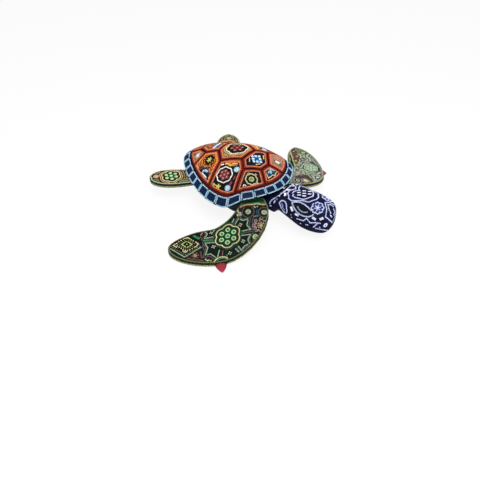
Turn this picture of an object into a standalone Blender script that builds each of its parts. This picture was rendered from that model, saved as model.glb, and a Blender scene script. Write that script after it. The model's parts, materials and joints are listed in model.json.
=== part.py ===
"""Bead-mosaic sea turtle figurine: carved core pieces, dowels and bead-and-wax panels.

Frame: metres, +X towards the head, +Y towards the turtle's left, +Z up. The origin is the middle of the
flat belly panel that the turtle rests on, straight below the highest point of the shell.
"""

import math
from dataclasses import dataclass

import bmesh
import bpy
from mathutils import Matrix, Vector

MM = 0.001

# Fit and build-up
GAP = 0.3 * MM
WAX_FILM = 0.7 * MM
BEAD_LAYER = 2.6 * MM
SCUTE_GROOVE = 2.4 * MM
TILE_GAP = 0.5 * MM

# Shell
SHELL_LENGTH = 155 * MM
SHELL_WIDTH = 130 * MM
SHELL_HEIGHT = 77 * MM
PEAK_FORWARD = 17 * MM
EGG_SHAPE = 0.42
DOME_POWER = 0.92
RIM_HEIGHT = 37 * MM
SHOULDER_LIFT_LEFT = 8 * MM
SHOULDER_LIFT_RIGHT = 15 * MM
NAPE_DIP = 2 * MM
RIM_BAND_START = 0.865
TILES_PER_SIDE = 12

# Belly
BELLY_PANEL = 2.2 * MM
BELLY_SHARE = 0.40

# Head and neck
NECK_ROOT_DEPTH = 20 * MM
HEAD_REACH = 73 * MM
HEAD_WIDTH = 43 * MM
HEAD_TOP = 55.5 * MM
CHIN_HEIGHT = 12.5 * MM
NECK_UNDER_RIM = 5 * MM
NECK_DEPTH = 22 * MM

# Front flippers: the left one is longer and slimmer than the right one
FRONT_LENGTH_LEFT = 135 * MM
FRONT_LENGTH_RIGHT = 130 * MM
FRONT_WIDTH_LEFT = 46 * MM
FRONT_WIDTH_RIGHT = 54 * MM
FRONT_TIP_LEFT = 10.5 * MM
FRONT_TIP_RIGHT = 7.2 * MM
FRONT_UNDER_RIM_LEFT = 4.5 * MM
FRONT_UNDER_RIM_RIGHT = 9 * MM
FRONT_CROWN = 1.5 * MM
FRONT_BANK = 4.5 * MM

# Rear flippers
REAR_LENGTH = 75 * MM
REAR_WIDTH = 33 * MM
REAR_TIP_HEIGHT = 32 * MM
REAR_UNDER_RIM = 1.5 * MM
REAR_CROWN = 1.2 * MM
REAR_HEADING_RIGHT = math.radians(-40)
REAR_HEADING_LEFT = math.radians(-26)

FLIPPER_EDGE = 6.6 * MM
FLIPPER_KEEL = 4 * MM
EDGE_ROUND = 2.5 * MM

# Claws and dowels
CLAW_LENGTH_LEFT = 6.5 * MM
CLAW_LENGTH_RIGHT = 12.5 * MM
CLAW_WIDTH_LEFT = 10 * MM
CLAW_WIDTH_RIGHT = 13.5 * MM
CLAW_DEPTH = 7 * MM
CLAW_PEG = 1.2 * MM
CLAW_PEG_LENGTH = 8 * MM
CLAW_PLACE = 0.56
NECK_DOWEL = 4 * MM
NECK_DOWEL_LENGTH = 30 * MM
FLIPPER_DOWEL = 2.7 * MM
FLIPPER_DOWEL_LENGTH = 24 * MM

# Mesh fineness
SHELL_SECTORS = 48
PANEL_CELL = 6.5 * MM
DOWEL_SIDES = 16
NECK_SIDES = 26
SHARP_EDGE = math.radians(40)


for old in list(bpy.data.objects):
    bpy.data.objects.remove(old, do_unlink=True)

assembly = bpy.data.objects.new("turtle", None)
bpy.context.collection.objects.link(assembly)


def finish_material(name, colour, roughness, metallic=0.0):
    material = bpy.data.materials.new(name)
    material.use_nodes = True
    shader = material.node_tree.nodes["Principled BSDF"]
    shader.inputs["Base Color"].default_value = (*colour, 1.0)
    shader.inputs["Roughness"].default_value = roughness
    shader.inputs["Metallic"].default_value = metallic
    return material


WOOD = finish_material("carved_wood", (0.42, 0.27, 0.15), 0.65)
SCUTE_BEADS = finish_material("scute_beads", (0.62, 0.13, 0.04), 0.3)
RIM_BEADS = finish_material("rim_beads", (0.03, 0.10, 0.22), 0.3)
HEAD_BEADS = finish_material("head_beads", (0.03, 0.03, 0.16), 0.3)
FLIPPER_BEADS = finish_material("flipper_beads", (0.04, 0.10, 0.05), 0.3)
CLAW_RED = finish_material("claw_red", (0.55, 0.02, 0.04), 0.3)


def smooth_step(value):
    value = min(max(value, 0.0), 1.0)
    return value * value * (3 - 2 * value)


def place_mesh(name, mesh_data, material):
    """Turn a bmesh into a named, smooth-shaded object under the assembly."""
    bmesh.ops.recalc_face_normals(mesh_data, faces=mesh_data.faces)
    if mesh_data.calc_volume(signed=True) < 0:
        bmesh.ops.reverse_faces(mesh_data, faces=mesh_data.faces)
    mesh = bpy.data.meshes.new(name)
    mesh_data.to_mesh(mesh)
    mesh_data.free()
    mesh.shade_smooth()
    mesh.set_sharp_from_angle(angle=SHARP_EDGE)
    piece = bpy.data.objects.new(name, mesh)
    piece.parent = assembly
    bpy.context.collection.objects.link(piece)
    if material is None:
        piece.hide_render = True
        piece.display_type = "WIRE"
    else:
        mesh.materials.append(material)
    return piece


def loft(name, rings, material):
    """Close a row of equal rings into one solid with flat end caps."""
    shape = bmesh.new()
    rows = [[shape.verts.new(point) for point in ring] for ring in rings]
    count = len(rows[0])
    for row, next_row in zip(rows, rows[1:]):
        for i in range(count):
            j = (i + 1) % count
            shape.faces.new((row[i], row[j], next_row[j], next_row[i]))
    shape.faces.new(rows[0])
    shape.faces.new(rows[-1])
    return place_mesh(name, shape, material)


def cut(piece, cutter):
    modifier = piece.modifiers.new("cut_" + cutter.name, "BOOLEAN")
    modifier.operation = "DIFFERENCE"
    modifier.solver = "EXACT"
    modifier.object = cutter


def rod(name, centre, direction, radius, length, material):
    """Round rod with its middle at centre and its axis along direction."""
    shape = bmesh.new()
    bmesh.ops.create_cone(
        shape, cap_ends=True, segments=DOWEL_SIDES, radius1=radius, radius2=radius, depth=length
    )
    turn = Vector((0, 0, 1)).rotation_difference(direction).to_matrix().to_4x4()
    shape.transform(Matrix.Translation(centre) @ turn)
    return place_mesh(name, shape, material)


# Shell outline: an egg curve, widest ahead of its middle, with its blunt end at the head

def egg_reach(angle):
    return (1 + EGG_SHAPE * math.cos(angle)) * math.sin(angle)


widest_cosine = (math.sqrt(1 + 8 * EGG_SHAPE**2) - 1) / (4 * EGG_SHAPE)
EGG_SCALE = SHELL_WIDTH / 2 / egg_reach(math.acos(widest_cosine))


def rim_plan(angle):
    return Vector((SHELL_LENGTH / 2 * math.cos(angle) - PEAK_FORWARD, EGG_SCALE * egg_reach(angle)))


LIFT_END = math.radians(64)
LIFT_SPAN = math.radians(27)
LIFT_BLEND = math.radians(25)
NAPE_SPAN = math.radians(30)


def rim_level(angle):
    """Height of the shell's edge: level at the back and sides, raised over the front flippers."""
    turn = math.remainder(angle, 2 * math.pi)
    left = smooth_step((turn + LIFT_BLEND) / (2 * LIFT_BLEND))
    most = SHOULDER_LIFT_RIGHT + (SHOULDER_LIFT_LEFT - SHOULDER_LIFT_RIGHT) * left
    turn = abs(turn)
    lift = most * smooth_step((LIFT_END - turn) / LIFT_SPAN)
    return RIM_HEIGHT + lift - NAPE_DIP * smooth_step((NAPE_SPAN - turn) / NAPE_SPAN)


def dome(share, angle):
    """Outer point of the shell at a share of the way from the peak to the rim."""
    plan = rim_plan(angle) * share
    level = rim_level(angle)
    return Vector((*plan, level + (SHELL_HEIGHT - level) * max(1 - share**2, 0.0) ** DOME_POWER))


NUDGE = 1e-4


def dome_inside(share, angle, depth):
    """Point at a depth under the shell's outer surface, measured square to it."""
    if share < NUDGE:
        return dome(0, 0) - Vector((0, 0, depth))
    inner = min(share, 1 - NUDGE)
    outwards = dome(inner + NUDGE, angle) - dome(inner - NUDGE, angle)
    along = dome(inner, angle + NUDGE) - dome(inner, angle - NUDGE)
    return dome(share, angle) - outwards.cross(along).normalized() * depth


def shell_place(plan):
    """Share and angle of the shell point that lies over a plan point."""
    if plan.length < NUDGE * MM:
        return 0.0, 0.0
    aim = math.atan2(abs(plan.y), plan.x)
    low, high = 0.0, math.pi
    while high - low > NUDGE**2:
        middle = (low + high) / 2
        rim = rim_plan(middle)
        if math.atan2(rim.y, rim.x) < aim:
            low = middle
        else:
            high = middle
    return plan.length / rim_plan(low).length, math.copysign(low, plan.y)


# Carved body core under the shell, with the rim's underside and the belly

# Rings of the core: shares towards the rim on top, then (share, share of the rim's height) underneath.
TOP_SHARES = (0.2, 0.4, 0.58, 0.73, RIM_BAND_START, 0.93, 0.97, 1.0)
UNDERSIDE = ((0.86, 0.97), (0.74, 0.84), (0.63, 0.60), (0.52, 0.36), (0.45, 0.18))


def sector_angles():
    return [2 * math.pi * i / SHELL_SECTORS for i in range(SHELL_SECTORS)]


def body_core():
    depth = BEAD_LAYER + WAX_FILM
    seat = BELLY_PANEL + GAP
    shape = bmesh.new()
    rows = []
    for share in TOP_SHARES:
        rows.append([dome_inside(share, angle, depth) for angle in sector_angles()])
    for share, height in UNDERSIDE:
        rows.append([Vector((*rim_plan(a) * share, rim_level(a) * height)) for a in sector_angles()])
    rows.append([Vector((*rim_plan(a) * BELLY_SHARE, seat)) for a in sector_angles()])
    rows = [[shape.verts.new(point) for point in row] for row in rows]
    peak = shape.verts.new(dome_inside(0, 0, depth))
    for i in range(SHELL_SECTORS):
        j = (i + 1) % SHELL_SECTORS
        shape.faces.new((peak, rows[0][i], rows[0][j]))
        for row, next_row in zip(rows, rows[1:]):
            shape.faces.new((row[i], next_row[i], next_row[j], row[j]))
    shape.faces.new(rows[-1])
    return place_mesh("body_core", shape, WOOD)


def belly_panel():
    rim = [Vector((*rim_plan(a) * BELLY_SHARE, 0)) for a in sector_angles()]
    round_over = BELLY_PANEL / 2
    rings = []
    for height, inset in ((0, round_over), (round_over, 0), (BELLY_PANEL, 0)):
        rings.append([p - p.normalized() * inset + Vector((0, 0, height)) for p in rim])
    return loft("belly_panel", rings, HEAD_BEADS)


# Bead panels of the shell. Corners are (share towards the rim, degrees round from the head).

NAPE_CORNER = (RIM_BAND_START, 15)
SPINE_1 = (0.59, 8.5)
SIDE_2 = (0.48, 39)
SPINE_2 = (0.24, 41)
SIDE_3 = (0.45, 101)
SPINE_3 = (0.385, 138)
SIDE_4 = (0.60, 143)
SPINE_4 = (0.67, 161)
TAIL_CORNER = (RIM_BAND_START, 163)
COSTAL_END_1 = (RIM_BAND_START, 50)
COSTAL_END_2 = (RIM_BAND_START, 86.5)
COSTAL_END_3 = (RIM_BAND_START, 126)
ARC_STEP = 9


def mirrored(corner):
    return (corner[0], -corner[1])


def band_arc(start, end):
    """Corners along the inner edge of the rim band from one angle to another."""
    steps = max(2, round(abs(end[1] - start[1]) / ARC_STEP))
    turns = [start[1] + (end[1] - start[1]) * i / steps for i in range(steps + 1)]
    return [(RIM_BAND_START, turn) for turn in turns]


def vertebral(front, back, side=None, front_on_band=False, back_on_band=False):
    """Corners of a scute on the back's middle line, going round from front right to back right."""
    left_side = [side] if side else []
    right_side = [mirrored(side)] if side else []
    front_row = band_arc(mirrored(front), front) if front_on_band else [mirrored(front), front]
    if back_on_band:
        around = (RIM_BAND_START, 360 - back[1])
        back_row = band_arc(back, around)
    else:
        back_row = [back, mirrored(back)]
    return front_row + left_side + back_row + right_side


VERTEBRALS = (
    vertebral(NAPE_CORNER, SPINE_1, front_on_band=True),
    vertebral(SPINE_1, SPINE_2, SIDE_2),
    vertebral(SPINE_2, SPINE_3, SIDE_3),
    vertebral(SPINE_3, SPINE_4, SIDE_4),
    vertebral(SPINE_4, TAIL_CORNER, back_on_band=True),
)
COSTALS = (
    band_arc(NAPE_CORNER, COSTAL_END_1) + [SIDE_2, SPINE_1],
    band_arc(COSTAL_END_1, COSTAL_END_2) + [SIDE_3, SPINE_2, SIDE_2],
    band_arc(COSTAL_END_2, COSTAL_END_3) + [SIDE_4, SPINE_3, SIDE_3],
    band_arc(COSTAL_END_3, TAIL_CORNER) + [SPINE_4, SIDE_4],
)


def drawn_in(outline, distance):
    """Move each edge of a plan outline inwards by a distance."""
    area = sum(p.cross(q) for p, q in zip(outline, outline[1:] + outline[:1]))
    inwards = distance if area > 0 else -distance
    moved = []
    for before, point, after in zip(outline[-1:] + outline[:-1], outline, outline[1:] + outline[:1]):
        first = (point - before).normalized()
        second = (after - point).normalized()
        bisector = Vector((-first.y - second.y, first.x + second.x))
        moved.append(point + bisector * (inwards / (1 + first.dot(second))))
    return moved


def dome_panel(name, corners):
    """Bead panel over a plan outline, following the dome with an even thickness."""
    plan = [rim_plan(math.radians(turn)) * share for share, turn in corners]
    shape = bmesh.new()
    shape.faces.new([shape.verts.new((*p, 0)) for p in drawn_in(plan, SCUTE_GROOVE / 2)])
    for axis in (0, 1):
        low = min(v.co[axis] for v in shape.verts)
        span = max(v.co[axis] for v in shape.verts) - low
        cells = max(1, round(span / PANEL_CELL))
        normal = [0, 0, 0]
        normal[axis] = 1
        for i in range(1, cells):
            place = [0, 0, 0]
            place[axis] = low + span * i / cells
            everything = shape.verts[:] + shape.edges[:] + shape.faces[:]
            bmesh.ops.bisect_plane(shape, geom=everything, dist=GAP, plane_co=place, plane_no=normal)
    outer = {}
    inner = {}
    solid = bmesh.new()
    for vert in shape.verts:
        place = shell_place(vert.co.xy)
        outer[vert] = solid.verts.new(dome(*place))
        inner[vert] = solid.verts.new(dome_inside(*place, BEAD_LAYER))
    for face in shape.faces:
        solid.faces.new([outer[v] for v in face.verts])
        solid.faces.new([inner[v] for v in reversed(face.verts)])
    for edge in shape.edges:
        if edge.is_boundary:
            a, b = edge.verts
            solid.faces.new((outer[a], outer[b], inner[b], inner[a]))
    shape.free()
    return place_mesh(name, solid, SCUTE_BEADS)


def scutes():
    for number, corners in enumerate(VERTEBRALS, 1):
        dome_panel(f"vertebral_scute_{number}", corners)
    for number, corners in enumerate(COSTALS, 1):
        dome_panel(f"costal_scute_left_{number}", corners)
        dome_panel(f"costal_scute_right_{number}", [mirrored(c) for c in corners])


# Rim band: tiles of equal length along the shell's edge, one at the nape and one at the tail

RIM_SAMPLES = 720
TILE_CELLS = 3


def rim_angle_table():
    """Angles round the rim with the length of edge that lies before each of them."""
    angles = [2 * math.pi * i / RIM_SAMPLES for i in range(RIM_SAMPLES + 1)]
    lengths = [0.0]
    for before, after in zip(angles, angles[1:]):
        lengths.append(lengths[-1] + (rim_plan(after) - rim_plan(before)).length)
    return angles, lengths


RIM_ANGLES, RIM_LENGTHS = rim_angle_table()
RIM_GIRTH = RIM_LENGTHS[-1]


def angle_at(length):
    length = length % RIM_GIRTH
    after = next(i for i, value in enumerate(RIM_LENGTHS) if value >= length and i > 0)
    share = (length - RIM_LENGTHS[after - 1]) / (RIM_LENGTHS[after] - RIM_LENGTHS[after - 1])
    return RIM_ANGLES[after - 1] + share * (RIM_ANGLES[after] - RIM_ANGLES[after - 1])


def rim_tile(name, start, end):
    """One tile of the band between two lengths along the rim."""
    start_share = RIM_BAND_START + SCUTE_GROOVE / SHELL_WIDTH
    steps = [math.sin(math.pi / 2 * i / TILE_CELLS) for i in range(TILE_CELLS + 1)]
    shares = [start_share + (1 - start_share) * step for step in steps]
    rings = []
    for column in range(TILE_CELLS + 1):
        angle = angle_at(start + (end - start) * column / TILE_CELLS)
        front = [dome(share, angle) for share in shares]
        back = [dome_inside(share, angle, BEAD_LAYER) for share in reversed(shares)]
        rings.append(front + back)
    return loft(name, rings, RIM_BEADS)


def rim_band():
    count = 2 * TILES_PER_SIDE + 2
    pitch = RIM_GIRTH / count
    for place in range(count):
        if place == 0:
            name = "rim_tile_nape"
        elif place == TILES_PER_SIDE + 1:
            name = "rim_tile_tail"
        elif place <= TILES_PER_SIDE:
            name = f"rim_tile_left_{place:02d}"
        else:
            name = f"rim_tile_right_{count - place:02d}"
        rim_tile(name, (place - 0.5) * pitch + TILE_GAP / 2, (place + 0.5) * pitch - TILE_GAP / 2)


# Head and neck: one carved piece, as rings along its length.
# Each row: share of the reach ahead of the rim, of the half width, and of the height at top and bottom.

HEAD_ROWS = (
    (0.08, 0.90, 0.88, 0.26),
    (0.23, 0.98, 0.99, 0.20),
    (0.48, 1.00, 1.00, 0.04),
    (0.63, 1.00, 1.00, 0.00),
    (0.78, 0.93, 0.99, 0.01),
    (0.89, 0.80, 0.95, 0.05),
    (0.95, 0.64, 0.88, 0.11),
    (0.985, 0.42, 0.74, 0.22),
    (1.00, 0.20, 0.56, 0.34),
)
NECK_ROOT_WIDTH = 0.78
NAPE_WIDTH = 0.86
HEAD_SQUARENESS = 2.3


def neck_top():
    return rim_level(0) - BEAD_LAYER - NECK_UNDER_RIM


def head_sections(grow):
    """Place, middle height, half width and half height of each ring, grown by a clearance."""
    height = HEAD_TOP - CHIN_HEIGHT
    nape = rim_plan(0).x
    neck_middle = neck_top() - NECK_DEPTH / 2
    rows = []
    for x, width in ((nape - NECK_ROOT_DEPTH, NECK_ROOT_WIDTH), (nape + GAP, NAPE_WIDTH)):
        rows.append((x, neck_middle, HEAD_WIDTH / 2 * width, NECK_DEPTH / 2))
    for share, width, top, bottom in HEAD_ROWS:
        middle = CHIN_HEIGHT + height * (top + bottom) / 2
        rows.append((nape + HEAD_REACH * share, middle, HEAD_WIDTH / 2 * width, height * (top - bottom) / 2))
    neck, skull = rows[:2], rows[1:]
    sections = [neck[0]] + smooth_rows(skull)
    sections[0] = (sections[0][0] - grow, *sections[0][1:])
    return [(x, z, half_width + grow, half_height + grow) for x, z, half_width, half_height in sections]


def smooth_rows(rows):
    """Rows with one more between each two, on a smooth curve through them all."""
    result = [rows[0]]
    padded = rows[:1] + rows + rows[-1:]
    for before, first, second, after in zip(padded, padded[1:], padded[2:], padded[3:]):
        middle = tuple((9 * (b + c) - a - d) / 16 for a, b, c, d in zip(before, first, second, after))
        result += [middle, second]
    return result


def rounded(value):
    return math.copysign(abs(value) ** (2 / HEAD_SQUARENESS), value)


def head(name, grow, material):
    rings = []
    for x, z, half_width, half_height in head_sections(grow):
        ring = []
        for i in range(NECK_SIDES):
            angle = 2 * math.pi * i / NECK_SIDES
            side = half_width * rounded(math.cos(angle))
            ring.append(Vector((x, side, z + half_height * rounded(math.sin(angle)))))
        rings.append(ring)
    return loft(name, rings, material)


# Flippers: a bent centre line with a leaf-shaped width, sliced into a core and a bead panel on top

CENTRE_STEPS = 120
ROOT_TAPER = 1.5
TIP_FULLNESS = 2.4
BANK_START = 0.2
BANK_EASE = 0.3


@dataclass
class Flipper:
    """A left flipper; heading is measured from straight outwards towards the head."""

    root: Vector
    heading: float
    turn: float
    turn_power: float
    length: float
    width: float
    widest: float
    root_width: float
    root_height: float
    tip_height: float
    fall_start: float
    fall_span: float
    crown: float
    bank: float

    def direction(self, share):
        angle = self.heading - self.turn * (1 - max(1 - share, 0.0) ** self.turn_power)
        return Vector((math.sin(angle), math.cos(angle)))

    def centre(self, share):
        place = self.root.copy()
        step = share / CENTRE_STEPS
        for i in range(CENTRE_STEPS):
            place += self.direction((i + 0.5) * step) * (self.length * step)
        return place

    def leading_edge(self, share):
        forwards = self.direction(share)
        return self.centre(share) + Vector((forwards.y, -forwards.x)) * self.half_width(share)

    def half_width(self, share):
        if share < self.widest:
            back = (self.widest - share) / self.widest
            return self.width / 2 * (1 - (1 - self.root_width) * back**ROOT_TAPER)
        ahead = (share - self.widest) / (1 - self.widest)
        return self.width / 2 * math.sqrt(max(1 - ahead**TIP_FULLNESS, 0.0))

    def edge_height(self, share):
        fall = smooth_step((share - self.fall_start) / self.fall_span)
        return self.root_height + (self.tip_height - self.root_height) * fall

    def banked(self, share, across):
        """Rise of the blade towards its trailing edge, which fades out at the root and the tip."""
        swell = smooth_step((share - BANK_START) / BANK_EASE) * smooth_step((1 - share) / BANK_EASE)
        return self.bank * swell * (1 - across) / 2

    def top(self, share, across):
        return self.edge_height(share) + self.crown * (1 - across**2) + self.banked(share, across)

    def bottom(self, share, across):
        keel = FLIPPER_KEEL * (1 - share) * (1 - across**2)
        return self.edge_height(share) - FLIPPER_EDGE - keel + self.banked(share, across)


FRONT_ROOT = (0.80, math.radians(28.5))
REAR_ROOT = (0.60, math.radians(139))


def front_flipper(side, length, width, under_rim, tip_height):
    share, angle = FRONT_ROOT
    return Flipper(
        root=rim_plan(angle) * share,
        heading=math.radians(54),
        turn=math.radians(107),
        turn_power=2.6,
        length=length,
        width=width,
        widest=0.45,
        root_width=0.52,
        root_height=rim_level(side * angle) - BEAD_LAYER - under_rim - FRONT_CROWN,
        tip_height=tip_height,
        fall_start=0.0,
        fall_span=0.58,
        crown=FRONT_CROWN,
        bank=FRONT_BANK,
    )


def rear_flipper(heading):
    share, angle = REAR_ROOT
    return Flipper(
        root=rim_plan(angle) * share,
        heading=heading,
        turn=math.radians(14),
        turn_power=1.0,
        length=REAR_LENGTH,
        width=REAR_WIDTH,
        widest=0.60,
        root_width=0.62,
        root_height=RIM_HEIGHT - BEAD_LAYER - REAR_UNDER_RIM - REAR_CROWN,
        tip_height=REAR_TIP_HEIGHT,
        fall_start=0.30,
        fall_span=0.60,
        crown=REAR_CROWN,
        bank=0.0,
    )


FLIPPER_CELL = 7 * MM
FLIPPER_COLUMNS = 6
TIP_SHARE = 0.998
ROW_CROWDING = 1.4


def flipper_slab(name, shape, side, layer, grow, material):
    """One slice of a flipper: its core, its bead panel, or both together grown by a clearance."""
    places = [2 * i / FLIPPER_COLUMNS - 1 for i in range(FLIPPER_COLUMNS + 1)]
    sole = 1 - 2 * EDGE_ROUND / shape.width if layer == "core" else 1
    rows = round(shape.length / FLIPPER_CELL)
    rings = []
    for row in range(rows + 1):
        share = TIP_SHARE * (1 - (1 - row / rows) ** ROW_CROWDING)
        centre = shape.centre(share) if row else shape.root - shape.direction(0) * grow
        forwards = shape.direction(share)
        half = Vector((forwards.y, -forwards.x)) * (shape.half_width(share) + grow)

        def spot(across, height):
            plan = centre + half * across
            return Vector((plan.x, plan.y * side, height))

        top = [spot(place, shape.top(share, place) + grow) for place in places]
        low = [spot(place * sole, max(shape.bottom(share, place) - grow, 0.0)) for place in places]
        if layer == "panel":
            low = [point - Vector((0, 0, BEAD_LAYER)) for point in top]
        if layer == "core":
            top = [point - Vector((0, 0, BEAD_LAYER + WAX_FILM)) for point in top]
            walls = [(top[end].z + low[end].z) / 2 for end in (0, -1)]
            low = [spot(-1, walls[0])] + low + [spot(1, walls[1])]
        rings.append(top + low[::-1])
    return loft(name, rings, material)


def flipper_dowel(name, shape, side, hosts):
    """Dowel from the body core into a flipper's root, with its hole in both."""
    forwards = shape.direction(0)
    direction = Vector((forwards.x, forwards.y * side, 0))
    height = (shape.top(0, 0) - BEAD_LAYER - WAX_FILM + shape.bottom(0, 0)) / 2
    centre = Vector((shape.root.x, shape.root.y * side, height))
    rod(name, centre, direction, FLIPPER_DOWEL, FLIPPER_DOWEL_LENGTH, WOOD)
    hole = rod(name + "_hole", centre, direction, FLIPPER_DOWEL + GAP, FLIPPER_DOWEL_LENGTH + 2 * GAP, None)
    for host in hosts:
        cut(host, hole)


CLAW_ROWS = ((0.0, 1.0), (0.3, 0.9), (0.6, 0.66), (0.85, 0.36), (1.0, 0.1))
CLAW_SIDES = 12
CLAW_DROOP = 1.0 * MM


def claw(name, shape, side, host, length, width):
    """Flattened claw on the flipper's leading edge, with the peg that holds it."""
    ahead = shape.leading_edge(CLAW_PLACE + NUDGE)
    forwards = (ahead - shape.leading_edge(CLAW_PLACE - NUDGE)).normalized()
    outwards = Vector((forwards.y, -forwards.x))
    base_plan = shape.leading_edge(CLAW_PLACE) + outwards * GAP
    middle = shape.edge_height(CLAW_PLACE) - (FLIPPER_EDGE + BEAD_LAYER + WAX_FILM) / 2
    lift = max(middle, CLAW_DEPTH / 2 + CLAW_DROOP)
    point_way = Vector((outwards.x, outwards.y * side, 0))
    edge_way = Vector((forwards.x, forwards.y * side, 0))
    base = Vector((base_plan.x, base_plan.y * side, lift))
    peg_end = Vector((base.x, base.y, middle))
    peg_start = peg_end - point_way * CLAW_PEG_LENGTH
    rings = [claw_ring(spot, edge_way, CLAW_PEG, CLAW_PEG) for spot in (peg_start, peg_end)]
    for share, size in CLAW_ROWS:
        spot = base + point_way * (length * share) - Vector((0, 0, CLAW_DROOP * share))
        rings.append(claw_ring(spot, edge_way, width / 2 * size, CLAW_DEPTH / 2 * size))
    loft(name, rings, CLAW_RED)
    peg_middle = (peg_start + peg_end) / 2
    hole = rod(name + "_hole", peg_middle, point_way, CLAW_PEG + GAP, CLAW_PEG_LENGTH + 2 * GAP, None)
    cut(host, hole)


def claw_ring(middle, along, half_width, half_height):
    ring = []
    for i in range(CLAW_SIDES):
        angle = 2 * math.pi * i / CLAW_SIDES
        rise = Vector((0, 0, half_height * math.sin(angle)))
        ring.append(middle + along * (half_width * math.cos(angle)) + rise)
    return ring


def flipper(name, shape, side, body):
    core = flipper_slab(name + "_core", shape, side, "core", 0, WOOD)
    flipper_slab(name + "_bead_panel", shape, side, "panel", 0, FLIPPER_BEADS)
    cut(body, flipper_slab(name + "_pocket", shape, side, "both", GAP, None))
    flipper_dowel(name + "_dowel", shape, side, (body, core))
    return core


def neck_dowel(body, neck):
    centre = Vector((rim_plan(0).x - NECK_ROOT_DEPTH, 0, neck_top() - NECK_DEPTH / 2))
    forwards = Vector((1, 0, 0))
    rod("neck_dowel", centre, forwards, NECK_DOWEL, NECK_DOWEL_LENGTH, WOOD)
    hole = rod("neck_dowel_hole", centre, forwards, NECK_DOWEL + GAP, NECK_DOWEL_LENGTH + 2 * GAP, None)
    cut(body, hole)
    cut(neck, hole)


def build():
    body = body_core()
    belly_panel()
    scutes()
    rim_band()
    carved_head = head("head", 0, HEAD_BEADS)
    cut(body, head("neck_pocket", GAP, None))
    neck_dowel(body, carved_head)
    front_left = front_flipper(
        1, FRONT_LENGTH_LEFT, FRONT_WIDTH_LEFT, FRONT_UNDER_RIM_LEFT, FRONT_TIP_LEFT
    )
    front_right = front_flipper(
        -1, FRONT_LENGTH_RIGHT, FRONT_WIDTH_RIGHT, FRONT_UNDER_RIM_RIGHT, FRONT_TIP_RIGHT
    )
    limbs = (
        ("left", 1, front_left, rear_flipper(REAR_HEADING_LEFT), CLAW_LENGTH_LEFT, CLAW_WIDTH_LEFT),
        ("right", -1, front_right, rear_flipper(REAR_HEADING_RIGHT), CLAW_LENGTH_RIGHT, CLAW_WIDTH_RIGHT),
    )
    for word, side, front, rear, claw_length, claw_width in limbs:
        core = flipper("front_flipper_" + word, front, side, body)
        claw("claw_" + word, front, side, core, claw_length, claw_width)
        flipper("rear_flipper_" + word, rear, side, body)


build()
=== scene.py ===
# %% [markdown]
# # A turtle pressed out of glass beads
# The real figurine is a carved wooden turtle with a skin of soft wax. Its maker presses glass seed
# beads into the wax one at a time, holes outwards, first along the lines of each figure and then
# row by row into what is left. This lesson works the same way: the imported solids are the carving
# and its wax, and every bead is a small ring of glass set on them.
#
# The frame is loaded first and never moved. Everything else is laid on its surfaces.

# %% The carving, loaded as a fixed frame
import copy
import json
import math
import random
from itertools import product

import bpy
import numpy as np
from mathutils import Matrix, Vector
from mathutils.bvhtree import BVHTree
from mathutils.kdtree import KDTree

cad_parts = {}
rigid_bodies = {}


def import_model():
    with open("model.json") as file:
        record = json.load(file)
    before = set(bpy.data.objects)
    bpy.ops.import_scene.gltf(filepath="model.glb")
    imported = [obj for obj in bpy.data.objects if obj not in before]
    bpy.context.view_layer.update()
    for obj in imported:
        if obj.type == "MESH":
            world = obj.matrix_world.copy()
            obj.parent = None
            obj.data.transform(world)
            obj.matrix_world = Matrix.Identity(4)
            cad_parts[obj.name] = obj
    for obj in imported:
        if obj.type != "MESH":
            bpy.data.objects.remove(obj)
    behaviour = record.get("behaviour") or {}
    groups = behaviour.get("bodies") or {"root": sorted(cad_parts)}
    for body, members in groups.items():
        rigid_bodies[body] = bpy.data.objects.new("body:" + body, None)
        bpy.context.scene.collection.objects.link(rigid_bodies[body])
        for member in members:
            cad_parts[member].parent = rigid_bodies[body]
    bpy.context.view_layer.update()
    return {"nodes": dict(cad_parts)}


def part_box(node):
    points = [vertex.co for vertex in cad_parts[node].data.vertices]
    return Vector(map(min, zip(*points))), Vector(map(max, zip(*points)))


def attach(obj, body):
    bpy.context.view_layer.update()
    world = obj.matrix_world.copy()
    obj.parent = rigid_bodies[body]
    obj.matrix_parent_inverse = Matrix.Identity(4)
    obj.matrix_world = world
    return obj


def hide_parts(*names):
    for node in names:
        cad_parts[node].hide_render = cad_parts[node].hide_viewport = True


for leftover in list(bpy.data.objects):
    bpy.data.objects.remove(leftover)
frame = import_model()
MM = 0.001  # the frame is in metres, and beads are counted in millimetres


def placed(name, data):
    """A new object at the origin of the scene."""
    made = bpy.data.objects.new(name, data)
    bpy.context.scene.collection.objects.link(made)
    return made


# %% [markdown]
# ## The camera
# The photograph looks down on the turtle from its front right. The camera comes first, because a
# figure that is seen in the photograph can then be placed by its pixel: a ray from the eye through
# that pixel meets the carving at the spot where the maker put it.

# %% The camera at the photograph's viewing angle
PHOTO_SIDE = 480  # pixels
HALF = PHOTO_SIDE / 2
LENS, SENSOR = 37.5, 36.0
FOCAL_PIXELS = LENS / SENSOR * PHOTO_SIDE
AZIMUTH, ELEVATION = math.radians(38.0), math.radians(42.2)
CAMERA_DISTANCE = 650.0
CAMERA_AIM = Vector((28.13, -40.34, -27.08))  # what lies in the middle of the frame

LEVEL = math.cos(ELEVATION)
BACK = Vector((math.sin(AZIMUTH) * LEVEL, -math.cos(AZIMUTH) * LEVEL, math.sin(ELEVATION)))
RIGHT = Vector((math.cos(AZIMUTH), math.sin(AZIMUTH), 0.0))
UP = BACK.cross(RIGHT)
EYE = CAMERA_AIM + BACK * CAMERA_DISTANCE

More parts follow.
